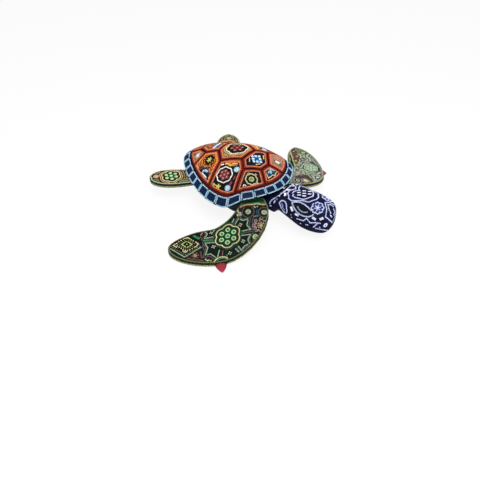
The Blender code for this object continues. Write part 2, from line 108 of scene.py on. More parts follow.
camera_data = bpy.data.cameras.new("camera")
camera_data.lens, camera_data.sensor_width = LENS, SENSOR
camera_data.clip_start, camera_data.clip_end = 0.01, 50.0
camera = placed("camera", camera_data)
camera.location = EYE * MM
camera.rotation_euler = BACK.to_track_quat("Z", "Y").to_euler()
bpy.context.scene.camera = camera
print("camera at", [round(x, 3) for x in camera.location])

# %% [markdown]
# ## Bead colours
# Seed beads come in fixed colours, so the whole turtle is made from one tray. Each colour is
# written as it looks in daylight, and each bead later gets a small change of its own, as beads
# from one bag never match exactly.

# %% The tray of beads
TRAY = {
    "black": "#07080b",
    "bottle": "#0d2a1a",
    "forest": "#17492c",
    "green": "#3d8a55",
    "leaf": "#b3c874",
    "mint": "#b2dc9f",
    "sage": "#b3c3a2",
    "reed": "#93b08f",
    "moss": "#6f7650",
    "haze": "#8b968a",
    "seafoam": "#a6d3b2",
    "olive": "#97936a",
    "plum": "#5e4f57",
    "navy": "#0b2b55",
    "midnight": "#091a38",
    "indigo": "#15174a",
    "cobalt": "#2b3488",
    "teal": "#14557a",
    "blue": "#2f6aa6",
    "sky": "#a6cadd",
    "ice": "#d8ebf5",
    "lavender": "#ccd3f1",
    "dusk": "#9aa2c2",
    "pearl": "#eef1fb",
    "white": "#f4f3ef",
    "ivory": "#e9e3c8",
    "cream": "#d8cb9d",
    "straw": "#e2d25e",
    "amber": "#e0a03c",
    "orange": "#d9803f",
    "coral": "#d96a3e",
    "brick": "#8f3320",
    "salmon": "#dd8763",
    "clay": "#9a744f",
    "wheat": "#c2b56c",
    "garnet": "#5e1210",
    "maroon": "#3a0808",
    "red": "#a02a2f",
    "rose": "#994b45",
    "pink": "#e0a09a",
    "magenta": "#9a3c60",
    "mauve": "#7d4f58",
    "blush": "#b9837c",
    "tan": "#c6a276",
    "cocoa": "#6d4f42",
    "earth": "#483f35",
    "dove": "#8d8081",
    "umber": "#33190f",
}


def linear(colour):
    """A bead's colour in the light units that Blender works in."""
    shares = [int(colour[i : i + 2], 16) / 255 for i in (1, 3, 5)]
    return np.array([x / 12.92 if x < 0.04045 else ((x + 0.055) / 1.055) ** 2.4 for x in shares])


GLASS = {name: linear(code) for name, code in TRAY.items()}
print("tray:", len(GLASS), "colours")

# %% [markdown]
# ## Skins and drawing sheets
# A bead needs a place on the carving and the direction in which the surface faces there. A skin
# takes the outer triangles of a solid and answers both. Its facing is blended between the corners
# of a triangle, so that the beads turn smoothly although the solids are faceted.
#
# Figures are flat drawings. A sheet is held over the skin and what is drawn on it, in
# millimetres, drops straight down. A tracing sheet does the same with photograph pixels along
# the camera's rays. Either can be turned over, to lay a figure's mirror image on the other side.
# The figures could also be painted on unwrapped panels, but dropped points keep every bead whole
# and need no unwrapping.


# %% Skins: where beads can be pressed
def unit(rows):
    """Each row made one long."""
    return rows / np.maximum(np.linalg.norm(rows, axis=1), 1e-12)[:, None]


UPWARD = 0.2  # how far up a triangle looks if it counts towards its solid's facing
FACE_SHARE = 0.6  # how nearly a triangle looks that way if it is part of the face


def outer_triangles(names, keep):
    """Merged corners, and the triangles of these solids that pass a test of where they face and lie."""
    places, faces, count = [], [], 0
    for name in names:
        mesh = frame["nodes"][name].data
        mesh.calc_loop_triangles()
        found = np.empty(3 * len(mesh.vertices), np.float32)
        mesh.vertices.foreach_get("co", found)
        corners = np.empty(3 * len(mesh.loop_triangles), np.int32)
        mesh.loop_triangles.foreach_get("vertices", corners)
        places.append(found.reshape(-1, 3).astype(float) / MM)
        faces.append(corners.reshape(-1, 3) + count)
        count += len(mesh.vertices)
    places, faces = np.concatenate(places), np.concatenate(faces)
    _, first, same = np.unique(np.round(places, 3), axis=0, return_index=True, return_inverse=True)
    places, faces = places[first], same.ravel()[faces]
    a, b, c = (places[faces[:, i]] for i in range(3))
    across = np.cross(b - a, c - a)
    normals = unit(across)
    facing = across[normals[:, 2] > UPWARD].sum(0)
    facing = facing / np.linalg.norm(facing)
    kept = keep(normals, normals @ facing, (a + b + c) / 3)
    return places, faces[kept], across[kept], facing


def on_face(normal, share, centre):
    """The usual test: triangles that face about the same way as the whole solid's top."""
    return share > FACE_SHARE


class Skin:
    """The outside of a solid: its triangles, its smooth facing and its border."""

    def __init__(self, name, keep=on_face):
        self.places, self.faces, across, self.facing = outer_triangles([name], keep)
        summed = np.zeros_like(self.places)
        for corner in range(3):
            np.add.at(summed, self.faces[:, corner], across)
        self.normals = unit(summed)
        self.tree = BVHTree.FromPolygons(self.places.tolist(), self.faces.tolist())
        areas = np.linalg.norm(across, axis=1) / 2
        self.middle = (self.places[self.faces].mean(1) * areas[:, None]).sum(0) / areas.sum()

    def seat(self, place, face):
        """A place on one of the triangles, and the smooth facing there."""
        a, b, c = (Vector(self.places[i]) for i in self.faces[face])
        whole = (b - a).cross(c - a)
        facing = Vector()
        for corner, p, q in zip(self.faces[face], (b, c, a), (c, a, b)):
            share = (p - place).cross(q - place).dot(whole) / whole.length_squared
            facing += Vector(self.normals[corner]) * max(share, 0.0)
        return place, facing.normalized()

    def nearest(self, spot):
        place, _, face, _ = self.tree.find_nearest(Vector(spot))
        return self.seat(place, face)

    def cast(self, start, way):
        """Where a ray meets the skin, or the nearest place to where it passes."""
        place, _, face, _ = self.tree.ray_cast(start, way)
        if place is None:
            return self.nearest(start + way * (Vector(self.middle) - start).dot(way) / way.length_squared)
        return self.seat(place, face)

    def border(self):
        """The skin's edge as loops of corner places."""
        ways = dict.fromkeys((a, b) for face in self.faces for a, b in zip(face, np.roll(face, -1)))
        after = {a: b for a, b in ways if (b, a) not in ways}
        loops = []
        while after:
            loop = [next(iter(after))]
            while loop[-1] in after:
                loop.append(after.pop(loop[-1]))
            loops.append(self.places[loop])
        return loops

    def scatter(self, grain):
        """Even spots all over the skin, about a grain apart, with their facing."""
        spots, facing = [], []
        for face in self.faces:
            corners = self.places[face]
            longest = max(np.linalg.norm(corners[i] - corners[i - 1]) for i in range(3))
            n = max(1, math.ceil(longest / grain))
            i, j = (grid.ravel() for grid in np.meshgrid(np.arange(n), np.arange(n)))
            up = np.stack([i + 1 / 3, j + 1 / 3], 1)[i + j < n]
            down = np.stack([i + 2 / 3, j + 2 / 3], 1)[i + j < n - 1]
            share = np.concatenate([up, down]) / n
            share = np.concatenate([share, 1 - share.sum(1, keepdims=True)], 1)
            spots.append(share @ corners)
            facing.append(share @ self.normals[face])
        return np.concatenate(spots), unit(np.concatenate(facing))


# %% Sheets: flat drawings that drop onto a skin
ACROSS = Vector((1.0, -1.0, 1.0))  # the turtle's two sides mirror each other in y
ABOVE = 30.0  # how high over the skin a sheet is held, mm
GRAZING = 0.15  # a bead that faces a sheet less than this isn't coloured from it


class Sheet:
    """A flat sheet held over a skin, in millimetres from its centre."""

    step = 0.35  # how finely a drawn line is followed
    flip = Vector((1.0, 1.0, 1.0))

    def __init__(self, skin, centre, facing, upward):
        self.skin, self.centre = skin, Vector(centre)
        self.facing, upward = Vector(facing).normalized(), Vector(upward)
        self.up = (upward - self.facing * upward.dot(self.facing)).normalized()
        self.side = self.up.cross(self.facing)

    def ray(self, a, b):
        return self.centre + self.side * a + self.up * b + self.facing * ABOVE, -self.facing

    def flat(self, places):
        """Where these places lie on the sheet."""
        away = places * np.array(self.flip) - np.array(self.centre)
        return np.stack([away @ np.array(self.side), away @ np.array(self.up)], 1)

    def faced(self, normals):
        return normals @ np.array(self.facing * self.flip) > GRAZING

    def drop(self, drawn):
        """Each drawn point as a place on the skin and its facing."""
        rays = (self.ray(a, b) for a, b in drawn)
        return [self.skin.cast(start * self.flip, way * self.flip) for start, way in rays]

    def turned_over(self, skin):
        """The same sheet on the turtle's other side."""
        other = copy.copy(self)
        other.skin, other.flip = skin, self.flip * ACROSS
        return other


class Tracing(Sheet):
    """A sheet in photograph pixels, seen from the camera."""

    step = 0.25

    def __init__(self, skin):
        self.skin, self.facing = skin, BACK

    def ray(self, a, b):
        return EYE.copy(), RIGHT * ((a - HALF) / FOCAL_PIXELS) + UP * ((HALF - b) / FOCAL_PIXELS) - BACK

    def flat(self, places):
        away = places * np.array(self.flip) - np.array(EYE)
        depth = -away @ np.array(BACK) / FOCAL_PIXELS
        return np.stack([HALF + away @ np.array(RIGHT) / depth, HALF - away @ np.array(UP) / depth], 1)


def sheet_at(skin, pixel, lean=0.0):
    """A sheet on the skin at the spot seen in a pixel, which may lean towards the camera."""
    place, facing = Tracing(skin).drop([pixel])[0]
    return Sheet(skin, place, facing.lerp(BACK, lean), UP)


# %% [markdown]
# ## Laying beads
# A bead lies wherever another is not already. Lines come first and keep an even spacing along
# their length, as a threaded string would. What is left is filled outwards from the lines, so that
# each new row nestles against the last, and the few holes that stay open get a smaller bead.
# Points scattered by chance would be simpler, but beads that are pressed by hand lie in rows.

# %% Lines and outlines
BEAD_ACROSS = 1.68
PITCH = 1.65  # from one bead's middle to the next in a string
PRESS_ROOM = 0.8 * PITCH  # what a bead in a figure needs round its middle
SIDE_BY_SIDE = 0.9 * PITCH  # between the strings of a thick line
FILL_ROOM = 0.93 * PITCH  # for beads that nestle between others
SMALL_BEAD = 0.8  # of the full size, for the holes that stay open
ROW_STEP = 0.87 * PITCH  # from one filled row to the next
BARE_EDGE = 0.42 * PITCH  # that a filled bead keeps off the border
GRAIN = 0.55  # between the spots that are tried
DEPTH_STEP = 0.15  # spots about as deep as each other are taken in turn
FIRST_ROW = 0.6  # where the first filled row begins, in row steps
EDGE_STEP, RIM_STEP = 0.4, 0.5  # how finely outlines and borders are followed
LOOP_FREE = 0.985  # a moved point that is nearer to its outline than this belongs to a loop


def evenly(points, closed):
    """Points along a line in space, as near to a bead's pitch apart as fits its length."""
    line = np.array([p for p, _ in points])
    steps = np.linalg.norm(np.diff(line, axis=0), axis=1)
    along = np.concatenate([[0.0], np.cumsum(steps)])
    count = max(1, round(along[-1] / PITCH))
    wanted = np.linspace(0.0, along[-1], count + 1)[: count if closed else count + 1]
    return np.stack([np.interp(wanted, along, line[:, i]) for i in range(3)], 1)


def inside(flat, outline):
    """Which flat points lie within a closed outline."""
    x, y = flat[:, :1], flat[:, 1:]
    a, b = outline, np.roll(outline, -1, 0)
    crosses = (a[:, 1] > y) != (b[:, 1] > y)
    rise = np.where(b[:, 1] == a[:, 1], 1e-12, b[:, 1] - a[:, 1])
    return (crosses & (x < a[:, 0] + (y - a[:, 1]) * (b[:, 0] - a[:, 0]) / rise)).sum(1) % 2 == 1


def drawn_finely(points, step, closed):
    """A line with more points, at most a step apart."""
    points = np.array(points, float)
    if closed:
        points = np.concatenate([points, points[:1]])
    found = [points[:1]]
    for a, b in zip(points, points[1:]):
        count = max(1, math.ceil(np.linalg.norm(b - a) / step))
        found.append(a + (b - a) * np.linspace(0, 1, count + 1)[1:, None])
    return np.concatenate(found)


def inset(outline, depth):
    """A closed outline moved inwards, without the loops that tight corners would make."""
    line = drawn_finely(outline, EDGE_STEP, True)[:-1]
    ahead = np.roll(line, -1, 0) - np.roll(line, 1, 0)
    side = unit(np.stack([-ahead[:, 1], ahead[:, 0]], 1))
    area = (line[:, 0] * np.roll(line[:, 1], -1) - line[:, 1] * np.roll(line[:, 0], -1)).sum()
    shifted = line + side * depth * np.sign(area)
    gap = np.linalg.norm(shifted[:, None] - line[None], axis=2).min(1)
    return shifted[gap > LOOP_FREE * abs(depth)]


# %% Beads in strings, clusters and rows
class BeadWork:
    """The beads on one skin. Work on the left side has the right side's skin as its twin.

    What is drawn is in photograph pixels, unless a sheet is given."""

    def __init__(self, name, skin, twin=None):
        self.name, self.skin, self.twin = name, skin, twin
        self.sheet = Sheet(skin, skin.middle, skin.facing, (1.0, 0.0, 0.05))
        self.photo = Tracing(twin).turned_over(skin) if twin else Tracing(skin)
        self.places, self.normals, self.colours, self.sizes = [], [], [], []
        self.areas, self.chance = [], random.Random(name)

    def at(self, pixel, lean=0.0):
        """A sheet on the spot seen in a pixel, or on its mirror image."""
        sheet = sheet_at(self.twin or self.skin, pixel, lean)
        return sheet.turned_over(self.skin) if self.twin else sheet

    def add(self, place, normal, colour, size=1.0):
        self.places.append(tuple(place))
        self.normals.append(tuple(normal))
        self.colours.append(colour)
        self.sizes.append(size)

    def press(self, place, normal, colour):
        """Presses one bead if no other is in the way."""
        place = tuple(place)
        if all(math.dist(place, other) >= PRESS_ROOM for other in self.places):
            self.add(place, normal, colour)

    def line(self, drawn, colours, closed=False, sheet=None, rows=1):
        """A string of beads along a drawn line, or a few side by side. Several colours take turns."""
        sheet = sheet or self.photo
        colours = [colours] if isinstance(colours, str) else colours
        spots = evenly(sheet.drop(drawn_finely(drawn, sheet.step, closed)), closed)
        for row in range(rows):
            shift = (row - (rows - 1) / 2) * SIDE_BY_SIDE
            for n, spot in enumerate(spots):
                place, normal = self.skin.nearest(spot)
                if shift:
                    along = Vector(spots[min(n + 1, len(spots) - 1)] - spots[max(n - 1, 0)])
                    place, normal = self.skin.nearest(place + normal.cross(along).normalized() * shift)
                self.press(place, normal, colours[n % len(colours)])

    def strings(self, *strings):
        """Several strings: what is drawn, the colour and, for a thick one, how many side by side."""
        for drawn, colour, *rows in strings:
            self.line(drawn, colour, rows=rows[0] if rows else 1)

    def dots(self, drawn, colour, sheet=None):
        """Single beads."""
        for place, normal in (sheet or self.photo).drop(drawn):
            self.press(place, normal, colour)

    def cluster(self, sheet, colour, heart=None, centre=(0.0, 0.0), rings=1, turn=0.0):
        """One bead with rings of beads round it, six to the first ring."""
        self.dots([centre], heart or colour, sheet)
        for ring in range(1, rings + 1):
            for n in range(6 * ring):
                corner, part = divmod(n, ring)
                a, b = (math.radians(60 * c) + turn for c in (corner, corner + 1))
                share = part / ring
                ends = ((1 - share) * f(a) + share * f(b) for f in (math.cos, math.sin))
                self.dots([[c + ring * PITCH * end for c, end in zip(centre, ends)]], colour, sheet)

    def area(self, outline, colour, sheet=None):
        """Beads that fill this outline later take this colour."""
        self.areas.append((sheet or self.photo, np.array(outline, float), colour))

    def rows(self, *colours, first=0.5):
        """Rows of beads along the skin's border, from the outside in."""
        for loop in self.skin.border():
            outline = self.sheet.flat(loop[:-1])
            for n, colour in enumerate(colours):
                self.line(inset(outline, (n + first) * PITCH), colour, True, self.sheet)

    def fill(self, *ground, free=None):
        """Fills what is open, from the lines outwards. The ground's colours take turns row by row."""
        spots, facing = self.skin.scatter(GRAIN)
        if free is not None:
            kept = free(spots, facing)
            spots, facing = spots[kept], facing[kept]
        spots, facing = spots.tolist(), facing.tolist()
        rim = [p for loop in self.skin.border() for p in drawn_finely(loop, RIM_STEP, False).tolist()]
        lines, field = KDTree(len(rim) + len(self.places)), KDTree(len(spots))
        for tree, members in ((lines, rim + self.places), (field, spots)):
            for n, place in enumerate(members):
                tree.insert(place, n)
            tree.balance()
        gaps, taken = [], [[False] * len(spots), [False] * len(spots)]
        for n, spot in enumerate(spots):
            _, which, gap = lines.find(spot)
            gaps.append(PITCH if which is None else gap)
            if which is not None and which < len(rim) and gap < BARE_EDGE:
                taken[0][n] = taken[1][n] = True

        def claim(place):
            for _, n, gap in field.find_range(place, FILL_ROOM):
                taken[0][n] = True
                if gap < SMALL_BEAD * PITCH:
                    taken[1][n] = True

        for place in self.places:
            claim(place)
        start = len(self.places)
        order = np.argsort(np.round(np.array(gaps) / DEPTH_STEP), kind="stable").tolist()
        for done, size in zip(taken, (1.0, SMALL_BEAD)):
            for n in order:
                if not done[n]:
                    row = max(0, int(gaps[n] / ROW_STEP - FIRST_ROW))
                    self.add(spots[n], facing[n], ground[row % len(ground)], size)
                    claim(spots[n])
        if len(self.places) > start:
            self.paint(start)

    def paint(self, start):
        """Gives the filled beads the colours of the areas that they lie in."""
        places, normals = np.array(self.places[start:]), np.array(self.normals[start:])
        for sheet, outline, colour in self.areas:
            for n in np.flatnonzero(inside(sheet.flat(places), outline) & sheet.faced(normals)):
                self.colours[start + n] = colour


# %% [markdown]
# ## Figures
# The maker's figures are old, common ones: dots made of seven beads, flowers, scalloped rings,
# stars and diamonds. Each is a short function that gives the points of an outline, so that a panel
# reads as a list of figures.


# %% Outlines and groups of beads that recur in the figures
def polar(radius, turns, centre):
    return np.stack([centre[0] + radius * np.cos(turns), centre[1] + radius * np.sin(turns)], 1)


def circle(radius, centre=(0.0, 0.0)):
    return polar(radius, np.linspace(0, 2 * math.pi, 48, endpoint=False), centre)


def scallop(reach, lobe, lobes, centre=(0.0, 0.0), turn=0.0):
    """The outline round a ring of circles: their middles' distance, their radius and their number."""
    turns = np.linspace(0, 2 * math.pi, 96, endpoint=False)
    off = (turns - turn + math.pi / lobes) % (2 * math.pi / lobes) - math.pi / lobes
    radius = reach * np.cos(off) + np.sqrt(np.maximum(lobe**2 - (reach * np.sin(off)) ** 2, 0))
    return polar(radius, turns, centre)


def spokes(reach, count, centre=(0.0, 0.0), turn=0.0):
    """The ends of evenly turned spokes."""
    return polar(reach, turn + np.arange(count) * 2 * math.pi / count, centre)


def trio():
    """Three beads that touch."""
    return spokes(PITCH / math.sqrt(3), 3, turn=0.5)


def block(spot):
    """Four beads in a square."""
    return spokes(PITCH / math.sqrt(2), 4, spot, math.pi / 4)


def seven(step, turn=0.0):
    """A middle and six places round it."""
    return [(0.0, 0.0), *map(tuple, spokes(step, 6, turn=turn))]


def square(half):
    return half * np.array([(-1, -1), (1, -1), (1, 1), (-1, 1)])


def moved(drawn, across, down):
    return [(x + across, y + down) for x, y in drawn]


def flower(work, sheet, colour, heart, petals, reach=3.2, count=6, turn=0.3, twist=0.0):
    """A cluster with single beads for petals."""
    work.cluster(sheet, colour, heart, turn=twist)
    work.dots(spokes(reach, count, turn=turn), petals, sheet)


def rose_rings(work, sheet, reach, turn, strings=(), areas=(), centre=(0.0, 0.0)):
    """Six-lobed strings and areas round a rose, each with the radius of its lobes."""
    for lobe, colour in strings:
        work.line(scallop(reach, lobe, 6, centre, turn), colour, True, sheet)
    for lobe, colour in areas:
        work.area(scallop(reach, lobe, 6, centre, turn), colour, sheet)


# %% [markdown]
# ## Finishes
# Nodes are wired by short expressions. A wire is a socket that can be added, multiplied and so on,
# which adds the Math nodes. A finish is a material, or the world, with a method for each kind of
# node that recurs.


# %% Wires and finishes
def arithmetic(operation, turned=False):
    """An operator of a wire, or the one for a wire on the right of a number."""

    def act(wire, other):
        return wire.maths(operation, *((other, wire) if turned else (wire, other)))

    return act


class Wire:
    """A node's output that works in arithmetic."""

    def __init__(self, wiring, socket):
        self.wiring, self.socket = wiring, socket

    def maths(self, operation, *values):
        values = {str(n): value for n, value in enumerate(values)}
        return self.wiring.node("ShaderNodeMath", {"operation": operation}, **values)

    __add__ = __radd__ = arithmetic("ADD")
    __mul__ = __rmul__ = arithmetic("MULTIPLY")
    __sub__, __rsub__ = arithmetic("SUBTRACT"), arithmetic("SUBTRACT", True)
    __truediv__, __rtruediv__ = arithmetic("DIVIDE"), arithmetic("DIVIDE", True)


class Wiring:
    """A node tree that is wired node by node."""

    def __init__(self, tree):
        self.tree = tree

    def node(self, kind, settings=None, output=0, **sockets):
        """Adds a node: its settings first, then the values or wires of its sockets."""
        made = self.tree.nodes.new(kind)
        for key, value in (settings or {}).items():
            setattr(made, key, value)
        self.plug(made, sockets)
        return Wire(self, made.outputs[output])

    def vectors(self, operation, a, b=None, output=0, **sockets):
        sockets.update({"0": a} if b is None else {"0": a, "1": b})
        return self.node("ShaderNodeVectorMath", {"operation": operation}, output, **sockets)

    def plug(self, node, sockets):
        for key, value in sockets.items():
            socket = node.inputs[int(key) if key.isdigit() else key.replace("_", " ")]
            if isinstance(value, Wire):
                self.tree.links.new(value.socket, socket)
            else:
                socket.default_value = value


class Finish(Wiring):
    """A material, or the world."""

    def __init__(self, name, world=None):
        self.material = world or bpy.data.materials.new(name)
        self.material.use_nodes = True
        super().__init__(self.material.node_tree)
        self.surface = self.tree.nodes["Background" if world else "Principled BSDF"]

    def set(self, **sockets):
        self.plug(self.surface, sockets)

    def here(self):
        return self.node("ShaderNodeTexCoord", None, "Object")

    def facing(self):
        return self.node("ShaderNodeNewGeometry", None, "Normal")

    def noise(self, scale, detail):
        return self.node("ShaderNodeTexNoise", None, Vector=self.here(), Scale=scale, Detail=detail)

    def bump(self, strength, depth, height):
        self.set(Normal=self.node("ShaderNodeBump", None, Strength=strength, Distance=depth, Height=height))

    def mix(self, share, first, second, blend="MIX"):
        """Two colours in proportion, each a wire, a colour or a name from the tray."""
        first, second = ((*GLASS[c], 1.0) if isinstance(c, str) else c for c in (first, second))
        settings = {"data_type": "RGBA", "blend_type": blend}
        return self.node("ShaderNodeMix", settings, 2, **{"0": share, "6": first, "7": second})

    def seen_directly(self):
        """One where a ray comes from the camera or from a shiny surface, and zero elsewhere."""
        rays = ("Is Camera Ray", "Is Glossy Ray", "Is Transmission Ray")
        straight, glossy, clear = (self.node("ShaderNodeLightPath", None, ray) for ray in rays)
        return straight.maths("MINIMUM", straight + glossy + clear, 1.0)


# %% [markdown]
# Glass beads are pressed glass, a little wavy, with a clear shine. The colour comes with each bead
# as an attribute, because a material for each colour would split every panel into dozens of them.
# Fine noise clouds it slightly, and a second noise changes the gloss, because wax and handling dull
# a bead here and there.


# %% Glass and wax
def bead_glass(name):
    finish = Finish(name)
    colour = finish.node("ShaderNodeAttribute", {"attribute_name": "colour"})
    cloud, film = finish.noise(900.0, 2.0), finish.noise(120.0, 3.0)
    shade = finish.node("ShaderNodeCombineColor", None, **{str(n): 0.86 + 0.28 * cloud for n in range(3)})
    finish.set(Base_Color=finish.mix(1.0, colour, shade, "MULTIPLY"), Roughness=0.26 + 0.24 * film)
    finish.set(IOR=1.5, Specular_IOR_Level=0.1)
    return finish.material


DOME_MIDDLE, DOME_REACH = (-0.008, 0.0, 0.015), (0.080, 0.066, 0.060)
DOME_SHARE = 0.8  # how nearly an outer face looks the dome's way


def on_top(finish):
    """One on the plates' outer faces and zero on their sides, judged by a dome of about their size."""
    from_middle = finish.vectors("SUBTRACT", finish.here(), DOME_MIDDLE)
    outward = finish.vectors("MULTIPLY", from_middle, tuple(1 / x**2 for x in DOME_REACH))
    share = finish.vectors("DOT_PRODUCT", finish.vectors("NORMALIZE", outward), finish.facing(), "Value")
    return share.maths("GREATER_THAN", share, DOME_SHARE)


def wax(name, colour, streak, under=None, top=None):
    """Beeswax between the beads, with the streaks and pits of a warm thumb."""
    finish = Finish(name)
    smear, pits = finish.noise(70.0, 5.0), finish.noise(700.0, 2.0)
    tone = finish.mix(smear, colour, streak)
    if under:
        rise = finish.node("ShaderNodeSeparateXYZ", None, "Z", Vector=finish.facing())
        tone = finish.mix(rise.maths("GREATER_THAN", rise, 0.1), under, tone)
    if top:
        tone = finish.mix(on_top(finish), tone, top)
    finish.set(Base_Color=tone, Roughness=0.5 + 0.2 * smear, Specular_IOR_Level=0.15)
    finish.bump(0.3, 0.0003, pits)
    return finish.material


BEADS = {name: bead_glass(name + "_glass") for name in ("scute", "rim", "head", "flipper", "body")}
WAX_FINISH = {
    "dark": wax("dark_wax", "black", "midnight"),
    "green": wax("green_wax", "black", "bottle"),
    "red": wax("red_wax", "maroon", "garnet", top="black"),
    "body": wax("body_wax", "maroon", "garnet", under="black"),
}
print("finishes:", len(bpy.data.materials))

# %% [markdown]
# ## From spots to glass
# One bead is a ring with a rounded top, 21 faces in all. A torus would be rounder, but it has hundreds
# of faces, and at this size smooth shading makes 21 look round. A geometry-node tree sets a copy on
# every spot, turns it to face outwards and spins it by chance. Each bead also gets a square of its own
# on the bead map, so that a picture of the colours can hold every bead apart.

# %% One bead
BEAD_SIDES = 7
BEAD_PROFILE = ((0.28, 0.05), (0.52, 0.60), (0.78, 0.33), (0.83, -0.36))  # radius and height, mm


def tube(bands, sides):
    """The faces between rings of corners, band by band."""
    for a in range(bands * sides):
        b = a + 1 if (a + 1) % sides else a + 1 - sides
        yield a, b, b + sides, a + sides


def one_bead():
    ring = []
    for radius, height in BEAD_PROFILE:
        for n in range(BEAD_SIDES):
            turn = 2 * math.pi * n / BEAD_SIDES
            ring.append((radius * math.cos(turn) * MM, radius * math.sin(turn) * MM, height * MM))
    mesh = bpy.data.meshes.new("one_bead")
    mesh.from_pydata(ring, [], [(b, a, d, c) for a, b, c, d in tube(len(BEAD_PROFILE) - 1, BEAD_SIDES)])
    mesh.shade_smooth()
    spot = mesh.attributes.new("spot", "FLOAT_VECTOR", "POINT")
    spot.data.foreach_set("vector", np.array(ring).ravel() / (BEAD_ACROSS / 2 * MM))
    return bpy.data.objects.new("one_bead", mesh)


BEAD = one_bead()
print("one bead:", len(BEAD.data.polygons), "faces")

# %% The tree that sets beads on spots
BEAD_ON_MAP = 0.42  # of its square, from the middle to the edge
INPUTS = {
    "Geometry": "Geometry",
    "Bead": "Object",
    "Spin Seed": "Int",
    "Map Squares": "Int",
    "Glass": "Material",
}


def bead_tree():
    group = bpy.data.node_groups.new("set_beads", "GeometryNodeTree")
    tree, sockets = Wiring(group), {}
    for label, kind in INPUTS.items():
        sockets[label] = group.interface.new_socket(label, in_out="INPUT", socket_type="NodeSocket" + kind)
    group.interface.new_socket("Geometry", in_out="OUTPUT", socket_type="NodeSocketGeometry")
    source, result = (group.nodes.new("NodeGroup" + end) for end in ("Input", "Output"))
    given = {label: Wire(tree, source.outputs[label]) for label in INPUTS}

    def named(name, kind):
        return tree.node("GeometryNodeInputNamedAttribute", {"data_type": kind}, Name=name)

    def kept(geometry, name, kind, domain, value):
        settings, sockets = {"data_type": kind, "domain": domain}, {"Geometry": geometry, "Name": name}
        return tree.node("GeometryNodeStoreNamedAttribute", settings, Value=value, **sockets)

    spots = kept(given["Geometry"], "square", "INT", "POINT", tree.node("GeometryNodeInputIndex"))
    ring = tree.node("GeometryNodeObjectInfo", None, "Geometry", Object=given["Bead"])
    facing = named("facing", "FLOAT_VECTOR")
    upright = tree.node("FunctionNodeAlignRotationToVector", {"axis": "Z"}, Vector=facing)
    seeded = {"3": 2 * math.pi, "Seed": given["Spin Seed"]}
    chance = tree.node("FunctionNodeRandomValue", {"data_type": "FLOAT"}, 1, **seeded)
    spin = tree.node("FunctionNodeAxisAngleToRotation", None, Axis=(0, 0, 1), Angle=chance)
    turns = {"0": upright, "1": spin}
    turned = tree.node("FunctionNodeRotateRotation", {"rotation_space": "LOCAL"}, **turns)
    size = named("size", "FLOAT")
    beads = tree.node(
        "GeometryNodeInstanceOnPoints", None, Points=spots, Instance=ring, Rotation=turned, Scale=size
    )
    glass = tree.node("GeometryNodeRealizeInstances", None, Geometry=beads)
    number, squares = named("square", "INT") + 0.5, given["Map Squares"]
    row = number.maths("FLOOR", number / squares)
    column = number.maths("FLOOR", number - row * squares)
    corner = tree.node("ShaderNodeCombineXYZ", None, X=column + 0.5, Y=row + 0.5)
    on_map = tree.vectors("SCALE", named("spot", "FLOAT_VECTOR"), Scale=BEAD_ON_MAP)
    fitted = tree.vectors("SCALE", tree.vectors("ADD", corner, on_map), Scale=1.0 / squares)
    mapped = kept(glass, "OFBake", "FLOAT2", "CORNER", fitted)
    finished = tree.node("GeometryNodeSetMaterial", None, Geometry=mapped, Material=given["Glass"])
    tree.plug(result, {"Geometry": finished})
    return group, {label: socket.identifier for label, socket in sockets.items()}


SET_BEADS, IDENTIFIERS = bead_tree()
print("bead tree:", len(SET_BEADS.nodes), "nodes")

# %% Beads as one piece
TINTS, LEAN, SIZES = (0.86, 1.12), 0.05, (0.96, 1.03)  # how much beads from one bag differ
SPIN_SEED = 7
LAID = {}


def set_beads(work, glass):
    """Turns the spots of some bead work into one piece of the turtle."""
    chance, count = work.chance, len(work.places)
    spots = bpy.data.meshes.new("spots")
    spots.from_pydata([tuple(x * MM for x in p) for p in work.places], [], [])
    tint = np.ones((count, 4), np.float32)
    for n, colour in enumerate(work.colours):
        tint[n, :3] = GLASS[colour] * chance.uniform(*TINTS)
    lean = [[chance.gauss(0, LEAN) for _ in range(3)] for _ in range(count)]
    scale = [chance.uniform(*SIZES) for _ in range(count)]
    for name, kind, key, values in (
        ("colour", "FLOAT_COLOR", "color", tint),
        ("facing", "FLOAT_VECTOR", "vector", np.array(work.normals) + np.array(lean)),
        ("size", "FLOAT", "value", np.array(work.sizes) * np.array(scale)),
    ):
        spots.attributes.new(name, kind, "POINT").data.foreach_set(key, values.ravel())
    holder = placed("spots", spots)
    modifier = holder.modifiers.new("set_beads", "NODES")
    modifier.node_group = SET_BEADS
    squares = math.ceil(math.sqrt(count))
    given = {"Bead": BEAD, "Spin Seed": SPIN_SEED, "Map Squares": squares, "Glass": glass}
    for label, value in given.items():
        modifier[IDENTIFIERS[label]] = value
    mesh = bpy.data.meshes.new_from_object(holder.evaluated_get(bpy.context.evaluated_depsgraph_get()))
    bpy.data.objects.remove(holder)
    for spare in ("square", "spot", "facing", "size"):
        if spare in mesh.attributes:
            mesh.attributes.remove(mesh.attributes[spare])
    mesh.name = work.name
    piece = placed(work.name, mesh)
    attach(piece, "root")
    LAID[work.name] = count


def laid(word):
    """How many beads lie on the pieces with this word in their names."""
    return sum(count for name, count in LAID.items() if word in name)


# %% [markdown]
# ## The shell's scutes
# Thirteen carved plates make the back. A brick-red row and a salmon one frame each plate, and the
# field inside holds one figure or a few. The figures lie where the photograph shows them. A plate on
# the hidden left side gets its right twin's figures turned over, because such pairs are usually made
# alike.


